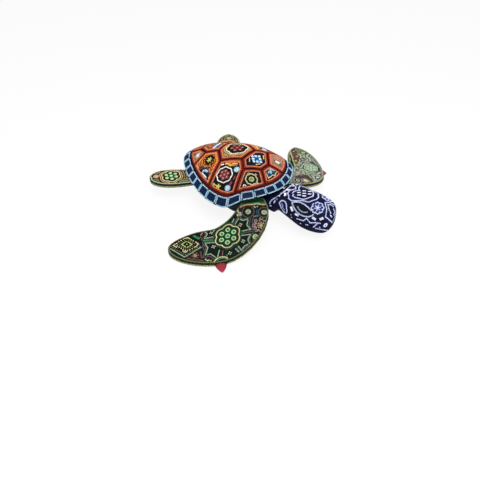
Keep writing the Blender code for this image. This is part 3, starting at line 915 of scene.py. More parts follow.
# %% Plates on the spine
def peak_plate(work):
    """A blue peak over a cream zigzag."""
    zigzag = [
        (266.6, 174.3), (268.4, 178.0), (270.4, 177.0), (272.6, 174.8), (274.5, 176.0), (276.3, 172.6),
        (278.6, 170.4),
    ]
    peak = [
        (266.4, 174.4), (268.0, 170.0), (271, 167.0), (274, 167.6), (277.6, 169.4), (275, 174.8),
        (272, 173), (269.4, 176.4),
    ]
    light = [(268.0, 172.8), (270.6, 167.4), (273.6, 168.0), (274.8, 170.8), (271.8, 171.0), (271.2, 174.0)]
    work.line(zigzag, "cream")
    work.area(peak, "teal")
    work.area(light, "sky")
    work.fill("black", "sage", "black")


def lattice_plate(work):
    """Eight pale blocks round a dark middle, on black, with cream and yellow corners."""
    lattice, step = work.at((256.6, 158.9)), 4.6
    for i, j in product((-1, 0, 1), repeat=2):
        if i or j:
            work.dots(block((step * i, step * j)), "ice", lattice)
    work.area(square(6.6), "blue", lattice)
    work.area(square(1.6), "teal", lattice)
    work.strings(
        ([(253.6, 153.4), (259.4, 153.0)], "teal"),
        ([(249.6, 158.4), (249.4, 161.4)], "cream"),
        ([(256.2, 164.6), (259.6, 164.0)], "cream"),
        ([(263.4, 156.0), (263.6, 158.8)], "straw"),
    )
    work.fill("black", "midnight")


def great_rose_plate(work):
    """A rose of seven dots in a cream ring, on tan with yellow scallops."""
    rose = work.at((237.2, 147.7))
    for spot in seven(6.4, 0.12):
        work.cluster(rose, "rose", "pink", spot)
    rose_rings(work, rose, 6.4, 0.12, [(7.2, "ivory"), (9.4, "wheat")], [(6.6, "black"), (2.4, "garnet")])
    work.fill("clay", "tan", "clay", "brick")


def pale_bird_plate(work):
    """A white and blue figure on orange."""
    work.line([(213.6, 148.2), (216.6, 145.6), (220.4, 143.6)], "white", rows=2)
    work.area(circle(5.6), "blue", work.at((217.0, 145.6)))
    work.fill("clay", "brick", "clay", "coral")


def ember_plate(work):
    """Dark dots on orange."""
    for pixel in ((199.4, 148.2), (202.6, 146.2)):
        work.cluster(work.at(pixel), "umber", "straw")
    work.fill("clay", "coral", "tan")


# %% Plates on the flanks
def wheel_plate(work):
    """A green wheel in an eight-lobed cream ring, with white corners."""
    hub = work.at((251.5, 179.2))
    work.dots(trio(), "tan", hub)
    work.line(circle(2.6), "leaf", True, hub)
    work.line(scallop(4.3, 3.0, 8), "cream", True, hub)
    work.area(circle(5.0), "bottle", hub)
    work.strings(
        ([(243.4, 186.0), (244.4, 184.2), (245.6, 185.4)], "white"),
        ([(257.4, 182.0), (258.0, 184.4)], "white"),
        ([(247.6, 173.6), (249.0, 173.2)], "tan"),
        ([(255.4, 174.0), (256.6, 174.8)], "tan"),
    )
    work.fill("black", "umber", "black")


def rose_plate(work):
    """A rose in a white ring, two pale discs, a yellow flower and a yellow zigzag."""
    rose = work.at((224.4, 174.6))
    for spot in seven(4.8, 0.3):
        work.cluster(rose, "rose", "pink", spot)
    work.line(scallop(6.0, 4.4, 8), "white", True, rose)
    work.area(circle(9.6), "black", rose)
    work.area(circle(6.0), "bottle", rose)
    for pixel in ((236.7, 169.5), (227.6, 188.1)):
        disc = work.at(pixel)
        work.cluster(disc, "ice", "sky")
        work.line(circle(3.1), "sky", True, disc)
    flower(work, work.at((218.0, 187.0)), "straw", "leaf", "straw")
    work.strings(
        ([(213.6, 183.8), (215.0, 185.6)], "leaf", 2),
        ([(226.0, 163.6), (228.9, 163.8), (230.7, 165.8), (233.2, 163.8), (237.0, 163.6)], "straw"),
        ([(235.2, 176.2), (233.4, 179.4)], "rose"),
        ([(231.6, 182.2), (230.0, 184.4)], "magenta", 2),
        ([(210.7, 183.4), (210.4, 186.6)], "white"),
        ([(221.6, 165.0), (223.6, 164.4)], "white"),
        ([(221.6, 190.8), (223.8, 191.0)], "red"),
    )
    work.area([(224.8, 160.6), (239, 160.8), (237.6, 165.8), (232, 166.6), (226, 165.6)], "orange")
    work.fill("black", "black", "midnight")


def twin_plate(work):
    """A yellow-green flower on a black oval over a white and blue figure, on amber."""
    oval = work.at((209.4, 159.8))
    flower(work, oval, "leaf", "straw", "straw")
    work.area(circle(7.4), "black", oval)
    work.strings(
        ([(203.2, 171.0), (205.4, 170.2), (207.4, 171.6)], "sky", 2),
        ([(201.8, 173.2), (203.6, 175.4), (205.8, 178.2)], "white", 2),
        ([(199.8, 169.0), (207.4, 166.8), (209.4, 173.0)], "mauve"),
    )
    work.area([(198.6, 168.2), (208.4, 165.8), (210.6, 173.6), (206.8, 181.4), (202.0, 176.6)], "midnight")
    work.fill("amber", "brick", "orange", "umber")


def pale_star_plate(work):
    """A pale star on orange."""
    middle = work.at((198.0, 155.4))
    flower(work, middle, "white", "sage", "sky", turn=0.4)
    work.area(circle(5.0), "tan", middle)
    work.fill("clay", "brick", "orange")


def white_mark_plate(work):
    """A white mark between dark dashes, on tan and orange."""
    work.strings(
        ([(275.8, 161.4), (277.2, 162.3), (278.8, 163.2)], "white", 2),
        ([(273.2, 159.4), (274.4, 161.0)], "umber"),
        ([(279.8, 165.0), (280.6, 166.4)], "umber"),
    )
    work.fill("blush", "clay", "tan")


# %% Laying the plates
PLATES = {
    "vertebral_scute_1": peak_plate,
    "vertebral_scute_2": lattice_plate,
    "vertebral_scute_3": great_rose_plate,
    "vertebral_scute_4": pale_bird_plate,
    "vertebral_scute_5": ember_plate,
    "costal_scute_right_1": wheel_plate,
    "costal_scute_right_2": rose_plate,
    "costal_scute_right_3": twin_plate,
    "costal_scute_right_4": pale_star_plate,
}


def lay_plate(name, figures, twin=None):
    work = BeadWork("beads_" + name, Skin(name), twin)
    work.rows("brick", "salmon", first=0.4)
    figures(work)
    set_beads(work, BEADS["scute"])
    return work.skin


for name, figures in PLATES.items():
    skin = lay_plate(name, figures)
    if "right" in name and name != "costal_scute_right_1":
        lay_plate(name.replace("right", "left"), figures, skin)
lay_plate("costal_scute_left_1", white_mark_plate)
print("scutes:", laid("scute"), "beads")

# %% [markdown]
# ## The rim
# Twenty-six tiles edge the shell. Each is dark blue with a pale blue string all round it. The string
# could be drawn tile by tile, but the tiles differ in shape, so it is the tile's own border moved
# inwards by half a bead.

# %% Rim tiles
TILES = ["rim_tile_nape", "rim_tile_tail"]
TILES += [f"rim_tile_{side}_{n:02d}" for side in ("right", "left") for n in range(1, 13)]
for name in TILES:
    work = BeadWork("beads_" + name, Skin(name))
    work.rows("sky")
    work.fill("navy", "midnight", "navy")
    set_beads(work, BEADS["rim"])
print("rim:", laid("rim"), "beads")

# %% [markdown]
# ## The head
# The head is dark indigo with lavender-white lines: a collar, a great rose on the crown, an almond
# eye on each side, a flower in a scalloped ring before it, and a diamond on the nose. The right
# side is traced, which puts each line where it is seen without unwrapping a round head, and the left
# side is the same tracing turned over.

# %% Head: the lines of one side
EYE_TOP = [
    (292.2, 202.4), (295.7, 201.9), (300.3, 202.3), (304.4, 204.4), (308.1, 207.4), (311.3, 210.6),
    (313.9, 213.6),
]
EYE_BOTTOM = [
    (313.9, 213.6), (312.2, 215.6), (308.5, 216.8), (304.4, 216.3), (300.3, 214.7), (297.1, 212.0),
    (294.3, 208.3), (292.2, 203.7),
]
EYE_GLINT = [(297.7, 206.9), (298.9, 209.2), (301.2, 211.3), (303.9, 212.4), (307.2, 212.2)]
COLLAR = [
    (271.2, 206.0), (269.6, 205.1), (269.9, 202.4), (271.8, 200.0), (275.4, 197.9), (280.2, 194.9),
    (284.9, 190.7), (289.2, 187.3), (293.4, 184.4),
]
NECK_RING = [
    (279.4, 203.2), (280.8, 201.0), (283.3, 200.5), (285.6, 201.9), (286.5, 205.1), (286.5, 208.3),
    (287.2, 211.1), (286.2, 213.4), (284.2, 212.2), (281.6, 208.6), (280.4, 205.4),
]
NECK_DROP = [(281.9, 203.9), (283.0, 205.6), (282.6, 207.6), (284.2, 209.7)]
CROWN_OUTER = [
    (295.6, 189.0), (293.4, 189.6), (289.7, 190.6), (287.6, 193.4), (288.8, 195.9), (288.6, 198.4),
    (291.1, 200.5), (296.0, 200.9), (302.1, 200.6), (305.3, 201.4), (309.0, 202.2), (312.7, 200.5),
    (316.3, 199.6), (317.4, 198.4),
]
CROWN_INNER = [
    (299.7, 190.6), (298.0, 190.5), (294.3, 191.4), (292.2, 193.3), (293.4, 194.3), (292.7, 196.1),
    (295.7, 197.7), (298.4, 198.2), (301.6, 199.1), (303.9, 199.4), (308.1, 198.2), (310.8, 197.1),
    (312.9, 196.4),
]
NOSE_OUTER = [
    (325.2, 202.7), (325.6, 205.6), (326.7, 209.2), (326.2, 212.9), (325.5, 217.0), (328.3, 218.9),
    (330.6, 221.2), (331.8, 222.5),
]
NOSE_INNER = [(328.0, 204.6), (328.4, 207.2), (329.2, 210.2)]
NOSE_MARK = [(330.1, 212.0), (330.8, 213.4), (330.1, 214.9), (331.6, 216.8)]
MOUTH = [
    (297.1, 218.6), (300.3, 219.6), (303.5, 220.7), (306.7, 218.2), (308.1, 220.2), (310.4, 222.8),
    (314.5, 222.5), (320.0, 223.2),
]
LIP = [(316.9, 223.9), (313.6, 226.9)]
CHIN = [(315.9, 228.3), (319.1, 228.9), (323.2, 229.7), (327.4, 230.2)]
FACE = (CROWN_OUTER, CROWN_INNER, EYE_TOP, EYE_BOTTOM, COLLAR, NOSE_OUTER, NOSE_INNER, NOSE_MARK)
DASHES = (
    [(286.2, 189.5), (288.2, 188.2)],
    [(291.6, 185.3), (294.2, 186.2)],
    [(279.3, 196.0), (281.3, 193.6)],
    [(285.1, 195.6), (285.3, 193.4)],
    [(274.2, 202.3), (275.2, 200.9)],
    [(291.2, 207.2), (292.4, 210.6)],
    [(295.6, 214.0), (298.0, 215.4)],
    [(312.8, 217.7), (315.2, 219.2)],
    [(320.2, 219.2), (322.8, 218.2)],
)
SPOTS = [
    (277.1, 199.2), (291.1, 214.7), (291.6, 217.3), (306.0, 224.4), (307.6, 224.8), (300.6, 223.4),
    (319.6, 227.2),
]
CHEEK, MOUTH_CORNER = (317.6, 207.8), (325.5, 225.1)


def head_side(work, left):
    """The lines of one side, turned over for the left."""

    def side(sheet):
        return sheet.turned_over(work.skin) if left else sheet

    photo, cheek, corner = side(work.photo), side(work.at(CHEEK, 0.4)), side(work.at(MOUTH_CORNER))
    flower(work, cheek, "lavender", "pearl", "lavender", turn=0.2, twist=0.2)
    work.line(scallop(5.0, 2.1, 8), "lavender", True, cheek)
    work.area(circle(5.8), "cobalt", cheek)
    for drawn in (*FACE, MOUTH, LIP, CHIN):
        work.line(drawn, "lavender", sheet=photo)
    work.line(NECK_RING, "lavender", True, photo)
    for drawn in (EYE_GLINT, NECK_DROP):
        work.line(drawn, "dusk", sheet=photo)
    for dash in DASHES:
        work.line(dash, "pearl", sheet=photo, rows=2)
    work.dots(SPOTS, "lavender", photo)
    work.line(circle(2.0), "pearl", True, corner)
    work.area(circle(4.2), "cobalt", corner)
    work.area(EYE_TOP + EYE_BOTTOM, "black", photo)


# %% Head: both sides and the ground
CROWN_DOTS = [
    (299.1, 192.6), (304.2, 191.0), (309.7, 191.6), (304.3, 193.5), (309.5, 194.1), (299.1, 195.1),
    (304.2, 196.0),
]
CROWN_DOT_REACH = 1.2  # pixels either way
NECK_END, DOWEL_HIGH, DOWEL_CLEAR = 57.0, 27.9, 5.0  # mm: the neck's end, and the dowel's hole in it


def off_the_dowel(normal, share, centre):
    """The head's outside, without the neck's flat end and the dowel's hole."""
    hole = np.hypot(centre[:, 1], centre[:, 2] - DOWEL_HIGH) <= DOWEL_CLEAR
    return (normal[:, 0] > -0.9) & ((centre[:, 0] > NECK_END) | ~hole)


work = BeadWork("beads_head", Skin("head", off_the_dowel))
for x, y in CROWN_DOTS:
    work.line([(x - CROWN_DOT_REACH, y), (x + CROWN_DOT_REACH, y)], "pearl")
for left in (False, True):
    head_side(work, left)
work.fill("indigo", "black")
set_beads(work, BEADS["head"])
print("head:", laid("head"), "beads")

# %% [markdown]
# ## The front flippers
# The front flippers carry the richest work: a rose of seven mint dots in a cream scalloped ring,
# grey-green stars round it, nested diamonds at the tip, dotted wheels and a flower towards the
# shoulder, and a green band where the limb goes under the rim. A dull green string runs round the
# edge. Loose lines are traced. Rounded figures are drawn on small sheets at the pixels of their
# middles, because a ring drawn in millimetres comes out round on the limb.

# %% The near front flipper: what is drawn on it
STARS = (
    [(213.8, 242.7), (204.6, 243.4), (207.8, 247.6), (205.4, 255.4), (210.6, 253.9), (215.7, 257.6)],
    [(212.7, 237.1), (203.6, 238.7), (207.5, 234.3), (205.7, 232.4)],
    [
        (235.5, 223.8), (238.7, 218.5), (242.9, 220.6), (248.5, 218.9), (246.8, 225.2), (250.6, 229.4),
        (242.5, 231.1),
    ],
    [
        (242.2, 235.4), (250.6, 234.3), (247.8, 239.8), (249.8, 244.0), (244.6, 246.0), (241.4, 250.2),
        (238.4, 246.4),
    ],
)
STAR_FLOWERS = [(213.4, 246.9), (211.3, 233.2), (240.4, 224.8), (243.2, 241.3), (230.0, 253.2)]
STAR_ECHO = 1.32  # the plum line round each star, times its size
RAYS = (
    ([(219.4, 250.4), (217.6, 256.8)], "reed"),
    ([(235.6, 249.0), (240.4, 253.6)], "reed"),
    ([(232.4, 222.4), (233.8, 219.2)], "reed"),
    ([(222.8, 251.0), (222.2, 256.4)], "mauve"),
    ([(203.6, 240.9), (212.7, 240.0)], "green"),
    ([(241.9, 233.3), (250.2, 232.2)], "green"),
    ([(254.2, 206.6), (255.8, 207.8), (257.4, 206.6)], "sage"),
    ([(256.8, 210.0), (256.8, 214.0)], "teal"),
    ([(254.0, 216.4), (257.4, 216.0)], "haze"),
    ([(213.4, 231.2), (215.0, 229.8)], "sage"),
    ([(216.6, 228.6), (218.0, 227.6)], "sage"),
    ([(219.8, 226.8), (221.2, 225.8)], "sage"),
    ([(200.8, 235.0), (202.2, 233.4)], "blush"),
    ([(234.0, 256.8), (239.8, 254.0)], "cocoa"),
)
CONTOURS = (
    [
        (253.4, 217.6), (252.2, 222.0), (253.6, 227.4), (252.8, 232.0), (253.8, 238.0), (252.6, 243.4),
        (248.4, 248.6),
    ],
    [(255.2, 229.8), (254.9, 236.6), (256.8, 241.6)],
    [(201.9, 232.6), (200.4, 237.0), (203.0, 241.2), (202.6, 246.0), (204.2, 250.6), (203.0, 256.8)],
)
CLAW_ARC = [(214.4, 261.4), (216.6, 258.9), (220.6, 257.0), (225.4, 257.0), (228.5, 258.9)]
SHOULDER = [
    (237.6, 211.5), (239.4, 208.0), (242.2, 205.9), (246.4, 204.8), (252.0, 204.6), (256.9, 203.7),
    (260.0, 204.2), (262.8, 204.8), (265.0, 204.4),
]
NEAR_BROWN = (
    [
        (185.6, 258.8), (193.6, 252.4), (200.2, 249.8), (203.6, 257.6), (213.4, 259.8), (213.6, 264.0),
        (196.0, 264.0),
    ],
    [(199.0, 237.6), (203.4, 230.6), (207.6, 231.2), (205.4, 236.4), (201.0, 240.0)],
)
DIAMOND = (186.8, 244.5)
DIAMOND_CORNERS = (
    [(176.9, 243.6), (173.2, 245.5), (176.4, 247.4)],
    [(195.8, 242.2), (198.6, 244.2), (195.8, 246.8)],
    [(183.0, 251.0), (185.4, 252.5), (187.4, 250.9)],
    [(184.8, 238.6), (187.6, 237.8), (190.0, 239.0)],
)
WHEELS = (
    ((248.2, 211.8), "sage", 7.1),
    ((264.1, 212.4), "sage", 6.8),
    ((255.4, 236.8), "mint", None),
    ((239.2, 214.4), "sage", None),
)
FLIPPER_LEAN = 0.5  # figures on the limbs are drawn halfway between flat on them and facing the camera


# %% The near front flipper: its figures
def near_edges(work):
    """The arc over the claw and the band at the shoulder."""
    work.strings(
        (CLAW_ARC, "cream"),
        (moved(CLAW_ARC[1:], 0.4, 1.5), "green"),
        (SHOULDER, "cream"),
        (moved(SHOULDER, 0, 1.4), "garnet"),
        (moved(SHOULDER, 0, -1.3), "green"),
    )
    work.area(SHOULDER + [(268, 196), (236, 196)], "forest")


def near_rose(work):
    """A rose of mint rings with green hearts, and the stars and rays round it."""
    rose = work.at((227.7, 236.1), FLIPPER_LEAN)
    for spot in seven(8.7, 1.68):
        work.dots([spot], "moss", rose)
        work.line(circle(2.3, spot), "mint", True, rose)
    rose_rings(work, rose, 8.7, 1.68, [(7.2, "cream")], [(10.6, "forest"), (7.0, "umber"), (4.6, "forest")])
    for drawn in STARS:
        work.line(drawn, "reed")
        work.area(drawn, "black")
    for drawn, middle in zip(STARS, STAR_FLOWERS):
        work.line(np.array(middle) + STAR_ECHO * (np.array(drawn) - middle), "plum")
    for pixel in STAR_FLOWERS:
        heart = work.at(pixel)
        work.dots([(0, 0)], "red", heart)
        work.dots(spokes(1.75, 4, turn=0.4), "sage", heart)
    work.strings(*RAYS)


def diamond(across, high):
    x, y = DIAMOND
    return [(x - across, y), (x, y - high), (x + across, y), (x, y + high)]


def near_tip(work):
    """Nested diamonds, a low flower and flecks beside the claw."""
    work.dots([DIAMOND], "cream")
    work.line(diamond(5.2, 3.3), "leaf", True)
    work.strings(*((corner, "cream") for corner in DIAMOND_CORNERS))
    work.line(diamond(12.4, 7.2), ("cream", "umber"), True)
    work.line(diamond(8.8, 5.3), ("moss", "umber"), True)
    work.strings(
        ([(199.6, 246.4), (185.0, 254.8), (171.2, 246.8)], ("moss", "umber")),
        ([(200.9, 247.4), (184.6, 257.2), (169.8, 248.4)], "reed"),
        ([(193.8, 236.1), (199.0, 238.7)], "green", 2),
    )
    flower(work, work.at((195.2, 255.7)), "blush", "tan", "moss", 3.5, turn=0.2)
    work.strings(
        ([(200.8, 251.8), (201.6, 257.5)], "mauve"),
        ([(188.0, 258.4), (193.0, 259.6), (198.0, 260.0), (203.0, 260.8)], ("mauve", "cocoa")),
        ([(205.7, 259.6), (207.8, 261.0), (209.9, 259.6), (212.0, 261.8)], "cream"),
    )


def near_shoulder(work):
    """Wheels with tan hearts, and a flower in two scalloped rings."""
    for pixel, ring, outer in WHEELS:
        hub = work.at(pixel, FLIPPER_LEAN)
        work.dots(trio(), "tan", hub)
        work.line(circle(2.55), ring, True, hub)
        if outer:
            work.line(circle(outer), "plum", True, hub)
        work.area(circle(6.4 if outer else 4.0), "black", hub)
    heart = work.at((261.1, 225.3), FLIPPER_LEAN)
    flower(work, heart, "tan", "pink", "sage", 3.6, 8, 0.0)
    work.line(scallop(5.9, 1.9, 8), "blush", True, heart)
    work.line(scallop(8.4, 1.9, 8), "dove", True, heart)
    work.area(circle(7.4), "black", heart)


def near_figures(work):
    work.rows("moss")
    for figures in (near_edges, near_rose, near_tip, near_shoulder):
        figures(work)
    work.strings(*((drawn, "plum") for drawn in CONTOURS))
    for patch in NEAR_BROWN:
        work.area(patch, "umber")
    work.fill("black", "black", "bottle")


# %% [markdown]
# The far front flipper shows only part of its top. It has a like rose, pale ovals and a small ring,
# with more olive, so it is traced by itself. Its colours are paler and greyer than the near flipper's:
# partly its own, partly painted sheen, the bright surroundings reflected in its glass at a grazing angle.

# %% The far front flipper
FAR_EDGE = [(290.4, 151.9), (291.4, 155.2), (292.5, 158.9), (293.7, 162.6), (295.2, 166.3)]
FAR_LINES = (
    ([(303.0, 171.6), (304.2, 174.4), (307.3, 174.8), (309.4, 176.1), (311.2, 178.2)], "sage"),
    ([(313.1, 179.7), (314.6, 180.7), (317.4, 181.3)], "sage"),
    ([(316.9, 174.4), (319.5, 172.6)], "sage"),
    ([(300.2, 168.0), (302.4, 165.6), (305.0, 163.4), (308.2, 162.9)], "sage"),
    ([(307.6, 154.6), (306.6, 157.2), (309.6, 158.4), (310.2, 161.0)], "sage"),
    ([(311.6, 158.6), (314.0, 162.0), (317.0, 164.6)], "haze"),
    ([(298.4, 150.4), (297.6, 153.4)], "moss"),
    ([(300.2, 150.2), (299.6, 153.4)], "moss"),
    ([(300.6, 176.0), (302.2, 175.2), (303.6, 176.2)], "magenta"),
    ([(294.4, 175.4), (295.4, 177.2)], "magenta"),
)
FAR_DOTS = (
    ((297.5, 173.1), 2.6, "cream"),
    ((305.9, 180.9), 3.0, "cream"),
    ((303.2, 152.8), 2.3, "leaf"),
    ((317.6, 177.6), 1.5, "ice"),
    ((293.7, 151.5), 1.0, "tan"),
    ((296.9, 156.5), 1.3, "tan"),
    ((295.7, 161.0), 1.4, "tan"),
)
SMALL_RING = (297.8, 180.6)
FAR_RINGS = (((297.5, 173.1), 5.2, "dove"), ((305.9, 180.9), 5.6, "dove"), (SMALL_RING, 5.0, "dove"))
FAR_HOLES = (
    (303.9, 159.2), (300.8, 161.5), (307.3, 161.7), (312.8, 162.9), (300.4, 166.7), (304.2, 169.2),
    (305.6, 173.0), (310.6, 174.4), (315.5, 179.1),
)
FAR_LOW_BROWN = [(294, 176), (311, 174.6), (313, 184), (306, 186), (295, 184)]
FAR_BROWN = [(290.6, 149.0), (294.4, 148.4), (299.0, 156.0), (299.4, 161.0), (296.8, 165.0), (294.6, 162.6)]
PALE_DOTS = (0, 1, 5, 6)  # which dots of the far rose are the paler green


def far_figures(work):
    rose = work.at((311.0, 168.0), FLIPPER_LEAN)
    work.rows("olive")
    work.line(FAR_EDGE, "leaf")
    for step in (1.3, 2.6):
        work.line(moved(FAR_EDGE[1:], -step, 0.2), "bottle")
    for n, spot in enumerate(seven(5.5, 0.3)):
        work.cluster(rose, "seafoam" if n in PALE_DOTS else "sage", "sage", spot)
    rose_rings(work, rose, 5.5, 0.3, strings=[(4.4, "sage")])
    for pixel, radius, colour in FAR_DOTS + FAR_RINGS:
        work.line(circle(radius), colour, True, work.at(pixel, FLIPPER_LEAN))
    work.strings(*FAR_LINES)
    work.area(FAR_BROWN, "cocoa")
    work.area(FAR_LOW_BROWN, "earth")
    for pixel in FAR_HOLES:
        work.area(circle(1.2), "black", work.at(pixel, FLIPPER_LEAN))
    rose_rings(work, rose, 5.5, 0.3, areas=[(6.2, "bottle"), (4.2, "haze")])
    for pixel, radius, colour in FAR_DOTS:
        work.area(circle(radius + 2.2), "earth", work.at(pixel, FLIPPER_LEAN))
        work.area(circle(radius), colour, work.at(pixel, FLIPPER_LEAN))
    ring = work.at(SMALL_RING, FLIPPER_LEAN)
    work.dots([(0, 0)], "black", ring)
    work.line(circle(2.0), "sage", True, ring)
    work.area(circle(3.6), "black", ring)
    # The grey-green ground is partly painted sheen: paler than the near flipper's dark ground, as the
    # bright surroundings reflected at a grazing angle make it look.
    work.fill("haze", "plum", "sage")


# %% [markdown]
# ## The rear flippers
# A rear flipper is one small rose in a wavy cream ring, a tan oval at its tip and a pale edge. The
# two are set at different angles, so their figures are placed along each limb's own length.


# %% Rear flippers
def rear_figures(work):
    away = work.skin.places[np.unique(work.skin.faces)] - work.skin.middle
    along = np.linalg.svd(away[:, :2], full_matrices=False)[2][0]
    along = Vector((*along, 0.0)) * (-1 if along[0] > 0 else 1)
    limb = Sheet(work.skin, work.skin.middle, work.skin.facing, along)
    up = 10.0 if "right" in work.name else 6.0  # from the limb's middle to the rose's
    work.rows("sage")
    for x, y in seven(6.8, 0.2):
        work.cluster(limb, "mint", centre=(x, up + y))
    strings, areas = [(6.0, "cream"), (8.4, "tan")], [(5.6, "umber"), (3.0, "forest")]
    rose_rings(work, limb, 6.8, 0.2, strings, areas, (0.0, up))
    work.cluster(limb, "tan", "cream", (0.0, up + 19.5), rings=2)
    work.fill("umber", "olive", "umber", "tan")


# %% Laying the flippers
BEAD_CLEARANCE, STAND_OFF = 1.2, 0.6  # mm: room round a bead, and how far its middle stands off the skin
FLOOR_CLEARANCE, BEAD_DIP = 0.9, 0.8  # mm: above the floor, and how far a bead hangs below its spot


def open_air(node):
    """A test for spots on a solid that no other solid covers and that keep off the floor."""
    others = [name for name in frame["nodes"] if name != node]
    places, faces, _, _ = outer_triangles(others, lambda normal, share, centre: share > -2)
    tree = BVHTree.FromPolygons(places.tolist(), faces.tolist())

    def free(spots, facing):
        raised = spots[:, 2] + BEAD_DIP * np.minimum(facing[:, 2], 0.0) > FLOOR_CLEARANCE
        for n in np.flatnonzero(raised):
            raised[n] = tree.find_nearest(spots[n] + STAND_OFF * facing[n], BEAD_CLEARANCE)[0] is None
        return raised

    return free


FIGURES = {
    "front_flipper_right": near_figures,
    "front_flipper_left": far_figures,
    "rear_flipper_right": rear_figures,
    "rear_flipper_left": rear_figures,
}
UNDERCUT = -0.35  # how far round the edge the beads reach


def on_edge(normal, share, centre):
    return (share > UNDERCUT) & (share <= FACE_SHARE)


def on_sole(normal, share, centre):
    return share < FACE_SHARE


OUTER = {
    "edge": ("bead_panel", on_edge, ["bottle"]),
    "sole": ("core", on_sole, ["olive", "bottle", "forest", "bottle"]),
}

for limb, figures in FIGURES.items():
    work = BeadWork(f"beads_{limb}_panel", Skin(limb + "_bead_panel"))
    figures(work)
    set_beads(work, BEADS["flipper"])
    for part, (solid, keep, ground) in OUTER.items():
        node = f"{limb}_{solid}"
        work = BeadWork(f"beads_{limb}_{part}", Skin(node, keep))
        work.fill(*ground, free=open_air(node))
        set_beads(work, BEADS["flipper"])
print("flippers:", laid("flipper"), "beads")

# %% [markdown]
# ## The body under the rim
# Below the shell the body is dark blue, and its beads are darker still, midnight and black, as painted
# shade under the rim. Spots that a limb, the neck or the rim covers stay bare, and so does the belly,
# which has its own panel to rest on. The covered parts could be cut out by hand, but a test of each
# spot's distance to the other solids finds them wherever they are.

# %% Body
for side, way in (("right", -1), ("left", 1)):
    flank = Skin("body_core", lambda normal, share, centre: (normal[:, 2] < 0.3) & (way * centre[:, 1] > 0))
    work = BeadWork("beads_body_" + side, flank)
    # Midnight and black beads: the body's dark blue darkened as painted shade under the rim.
    work.fill("midnight", "black", free=open_air("body_core"))
    set_beads(work, BEADS["body"])
print("body:", laid("body"), "beads")

# %% [markdown]
# ## Claws
# Each front flipper has one red claw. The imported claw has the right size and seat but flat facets,
# so a smooth one of the same width, depth and length takes its place.

# %% Claws
ENAMEL, ENAMEL_CLOUD = (0.28, 0.009, 0.026, 1), (0.22, 0.006, 0.018, 1)
ENAMEL_BASE = (0.16, 0.006, 0.014, 1)
CLAW_ROWS, CLAW_SIDES = 14, 28
BLUNT_TIP = 0.04  # of the base's size


def claw_red():
    finish = Finish("claw_enamel")
    reach = finish.node("ShaderNodeAttribute", {"attribute_name": "reach"}, 2)
    cloud = finish.noise(260.0, 4.0)
    base = finish.node("ShaderNodeMapRange", None, Value=reach, From_Min=0.0, From_Max=0.45)
    tone = finish.mix(base, ENAMEL_BASE, finish.mix(cloud, ENAMEL, ENAMEL_CLOUD))
    finish.set(Base_Color=tone, Roughness=0.24 + 0.2 * cloud, Specular_IOR_Level=0.4)
    finish.bump(0.15, 0.0003, cloud)
    return finish.material


def claw(name, finish):
    """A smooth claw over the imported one: its base ring, carried out to the tip."""
    corners = np.array([v.co for v in frame["nodes"][name].data.vertices]) / MM
    core = np.mean(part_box(name.replace("claw", "front_flipper") + "_core"), axis=0) / MM
    tip = corners[np.hypot(*(corners - core)[:, :2].T).argmax()]
    flat = corners[:, :2] - corners[:, :2].mean(0)
    way = np.append(np.linalg.svd(flat, full_matrices=False)[2][0], 0.0)
    way *= np.sign((tip - core) @ way)
    wide, deep = np.cross((0, 0, 1), way), np.array((0.0, 0.0, 1.0))
    along = corners @ way
    girth = np.abs(corners @ wide - np.median(corners @ wide))
    ring = corners[np.abs(along - along[girth.argmax()]) < 0.2]
    base, end = ring.mean(0), corners[along > along.max() - 0.2].mean(0)
    share = np.arange(CLAW_ROWS + 1)[:, None, None] / CLAW_ROWS
    turn = 2 * math.pi * np.arange(CLAW_SIDES)[:, None] / CLAW_SIDES
    girdle = wide * np.ptp(ring @ wide) / 2 * np.cos(turn) + deep * np.ptp(ring @ deep) / 2 * np.sin(turn)
    places = base + (end - base) * share + girdle * np.maximum((1 - share**1.5) ** 0.8, BLUNT_TIP)
    ends = np.arange(CLAW_SIDES)[::-1], np.arange(CLAW_SIDES) + CLAW_ROWS * CLAW_SIDES
    faces = [*tube(CLAW_ROWS, CLAW_SIDES), *(tuple(end.tolist()) for end in ends)]
    made = bpy.data.meshes.new(name + "_enamel")
    made.from_pydata((places.reshape(-1, 3) * MM).tolist(), [], faces)
    reach = np.repeat(share.ravel(), CLAW_SIDES).astype(np.float32)
    made.attributes.new("reach", "FLOAT", "POINT").data.foreach_set("value", reach)
    made.shade_smooth()
    made.materials.append(finish)
    piece = placed(name + "_enamel", made)
    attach(piece, "root")
    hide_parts(name)
    return np.linalg.norm(end - base)


enamel = claw_red()
print("claws:", [round(claw(name, enamel), 1) for name in ("claw_right", "claw_left")], "mm long")

# %% [markdown]
# ## Wax, wood and the belly
# The solids under the beads show only between them, as wax: dark red in the grooves of the shell,
# black on the head and rim, dark green on the flippers. The dowels inside are plain wood. The belly
# is pressed flat so that it stands firmly, so its beads are a pattern in its finish and not rings.

# %% Wood and belly
PALE_WOOD, RING_WOOD = (0.42, 0.27, 0.15, 1.0), (0.28, 0.16, 0.08, 1.0)


def wood():
    """Softwood with growth rings along the rod."""
    finish = Finish("dowel_wood")
    grain = {"Vector": finish.here(), "Scale": 180.0, "Distortion": 6.0, "Detail": 3.0}
    rings = finish.node("ShaderNodeTexWave", {"bands_direction": "Z"}, 1, **grain)
    fibre = finish.noise(600.0, 4.0)
    finish.set(Base_Color=finish.mix(rings, PALE_WOOD, RING_WOOD), Roughness=0.55 + 0.2 * fibre)
    finish.bump(0.25, 0.0002, fibre)
    return finish.material


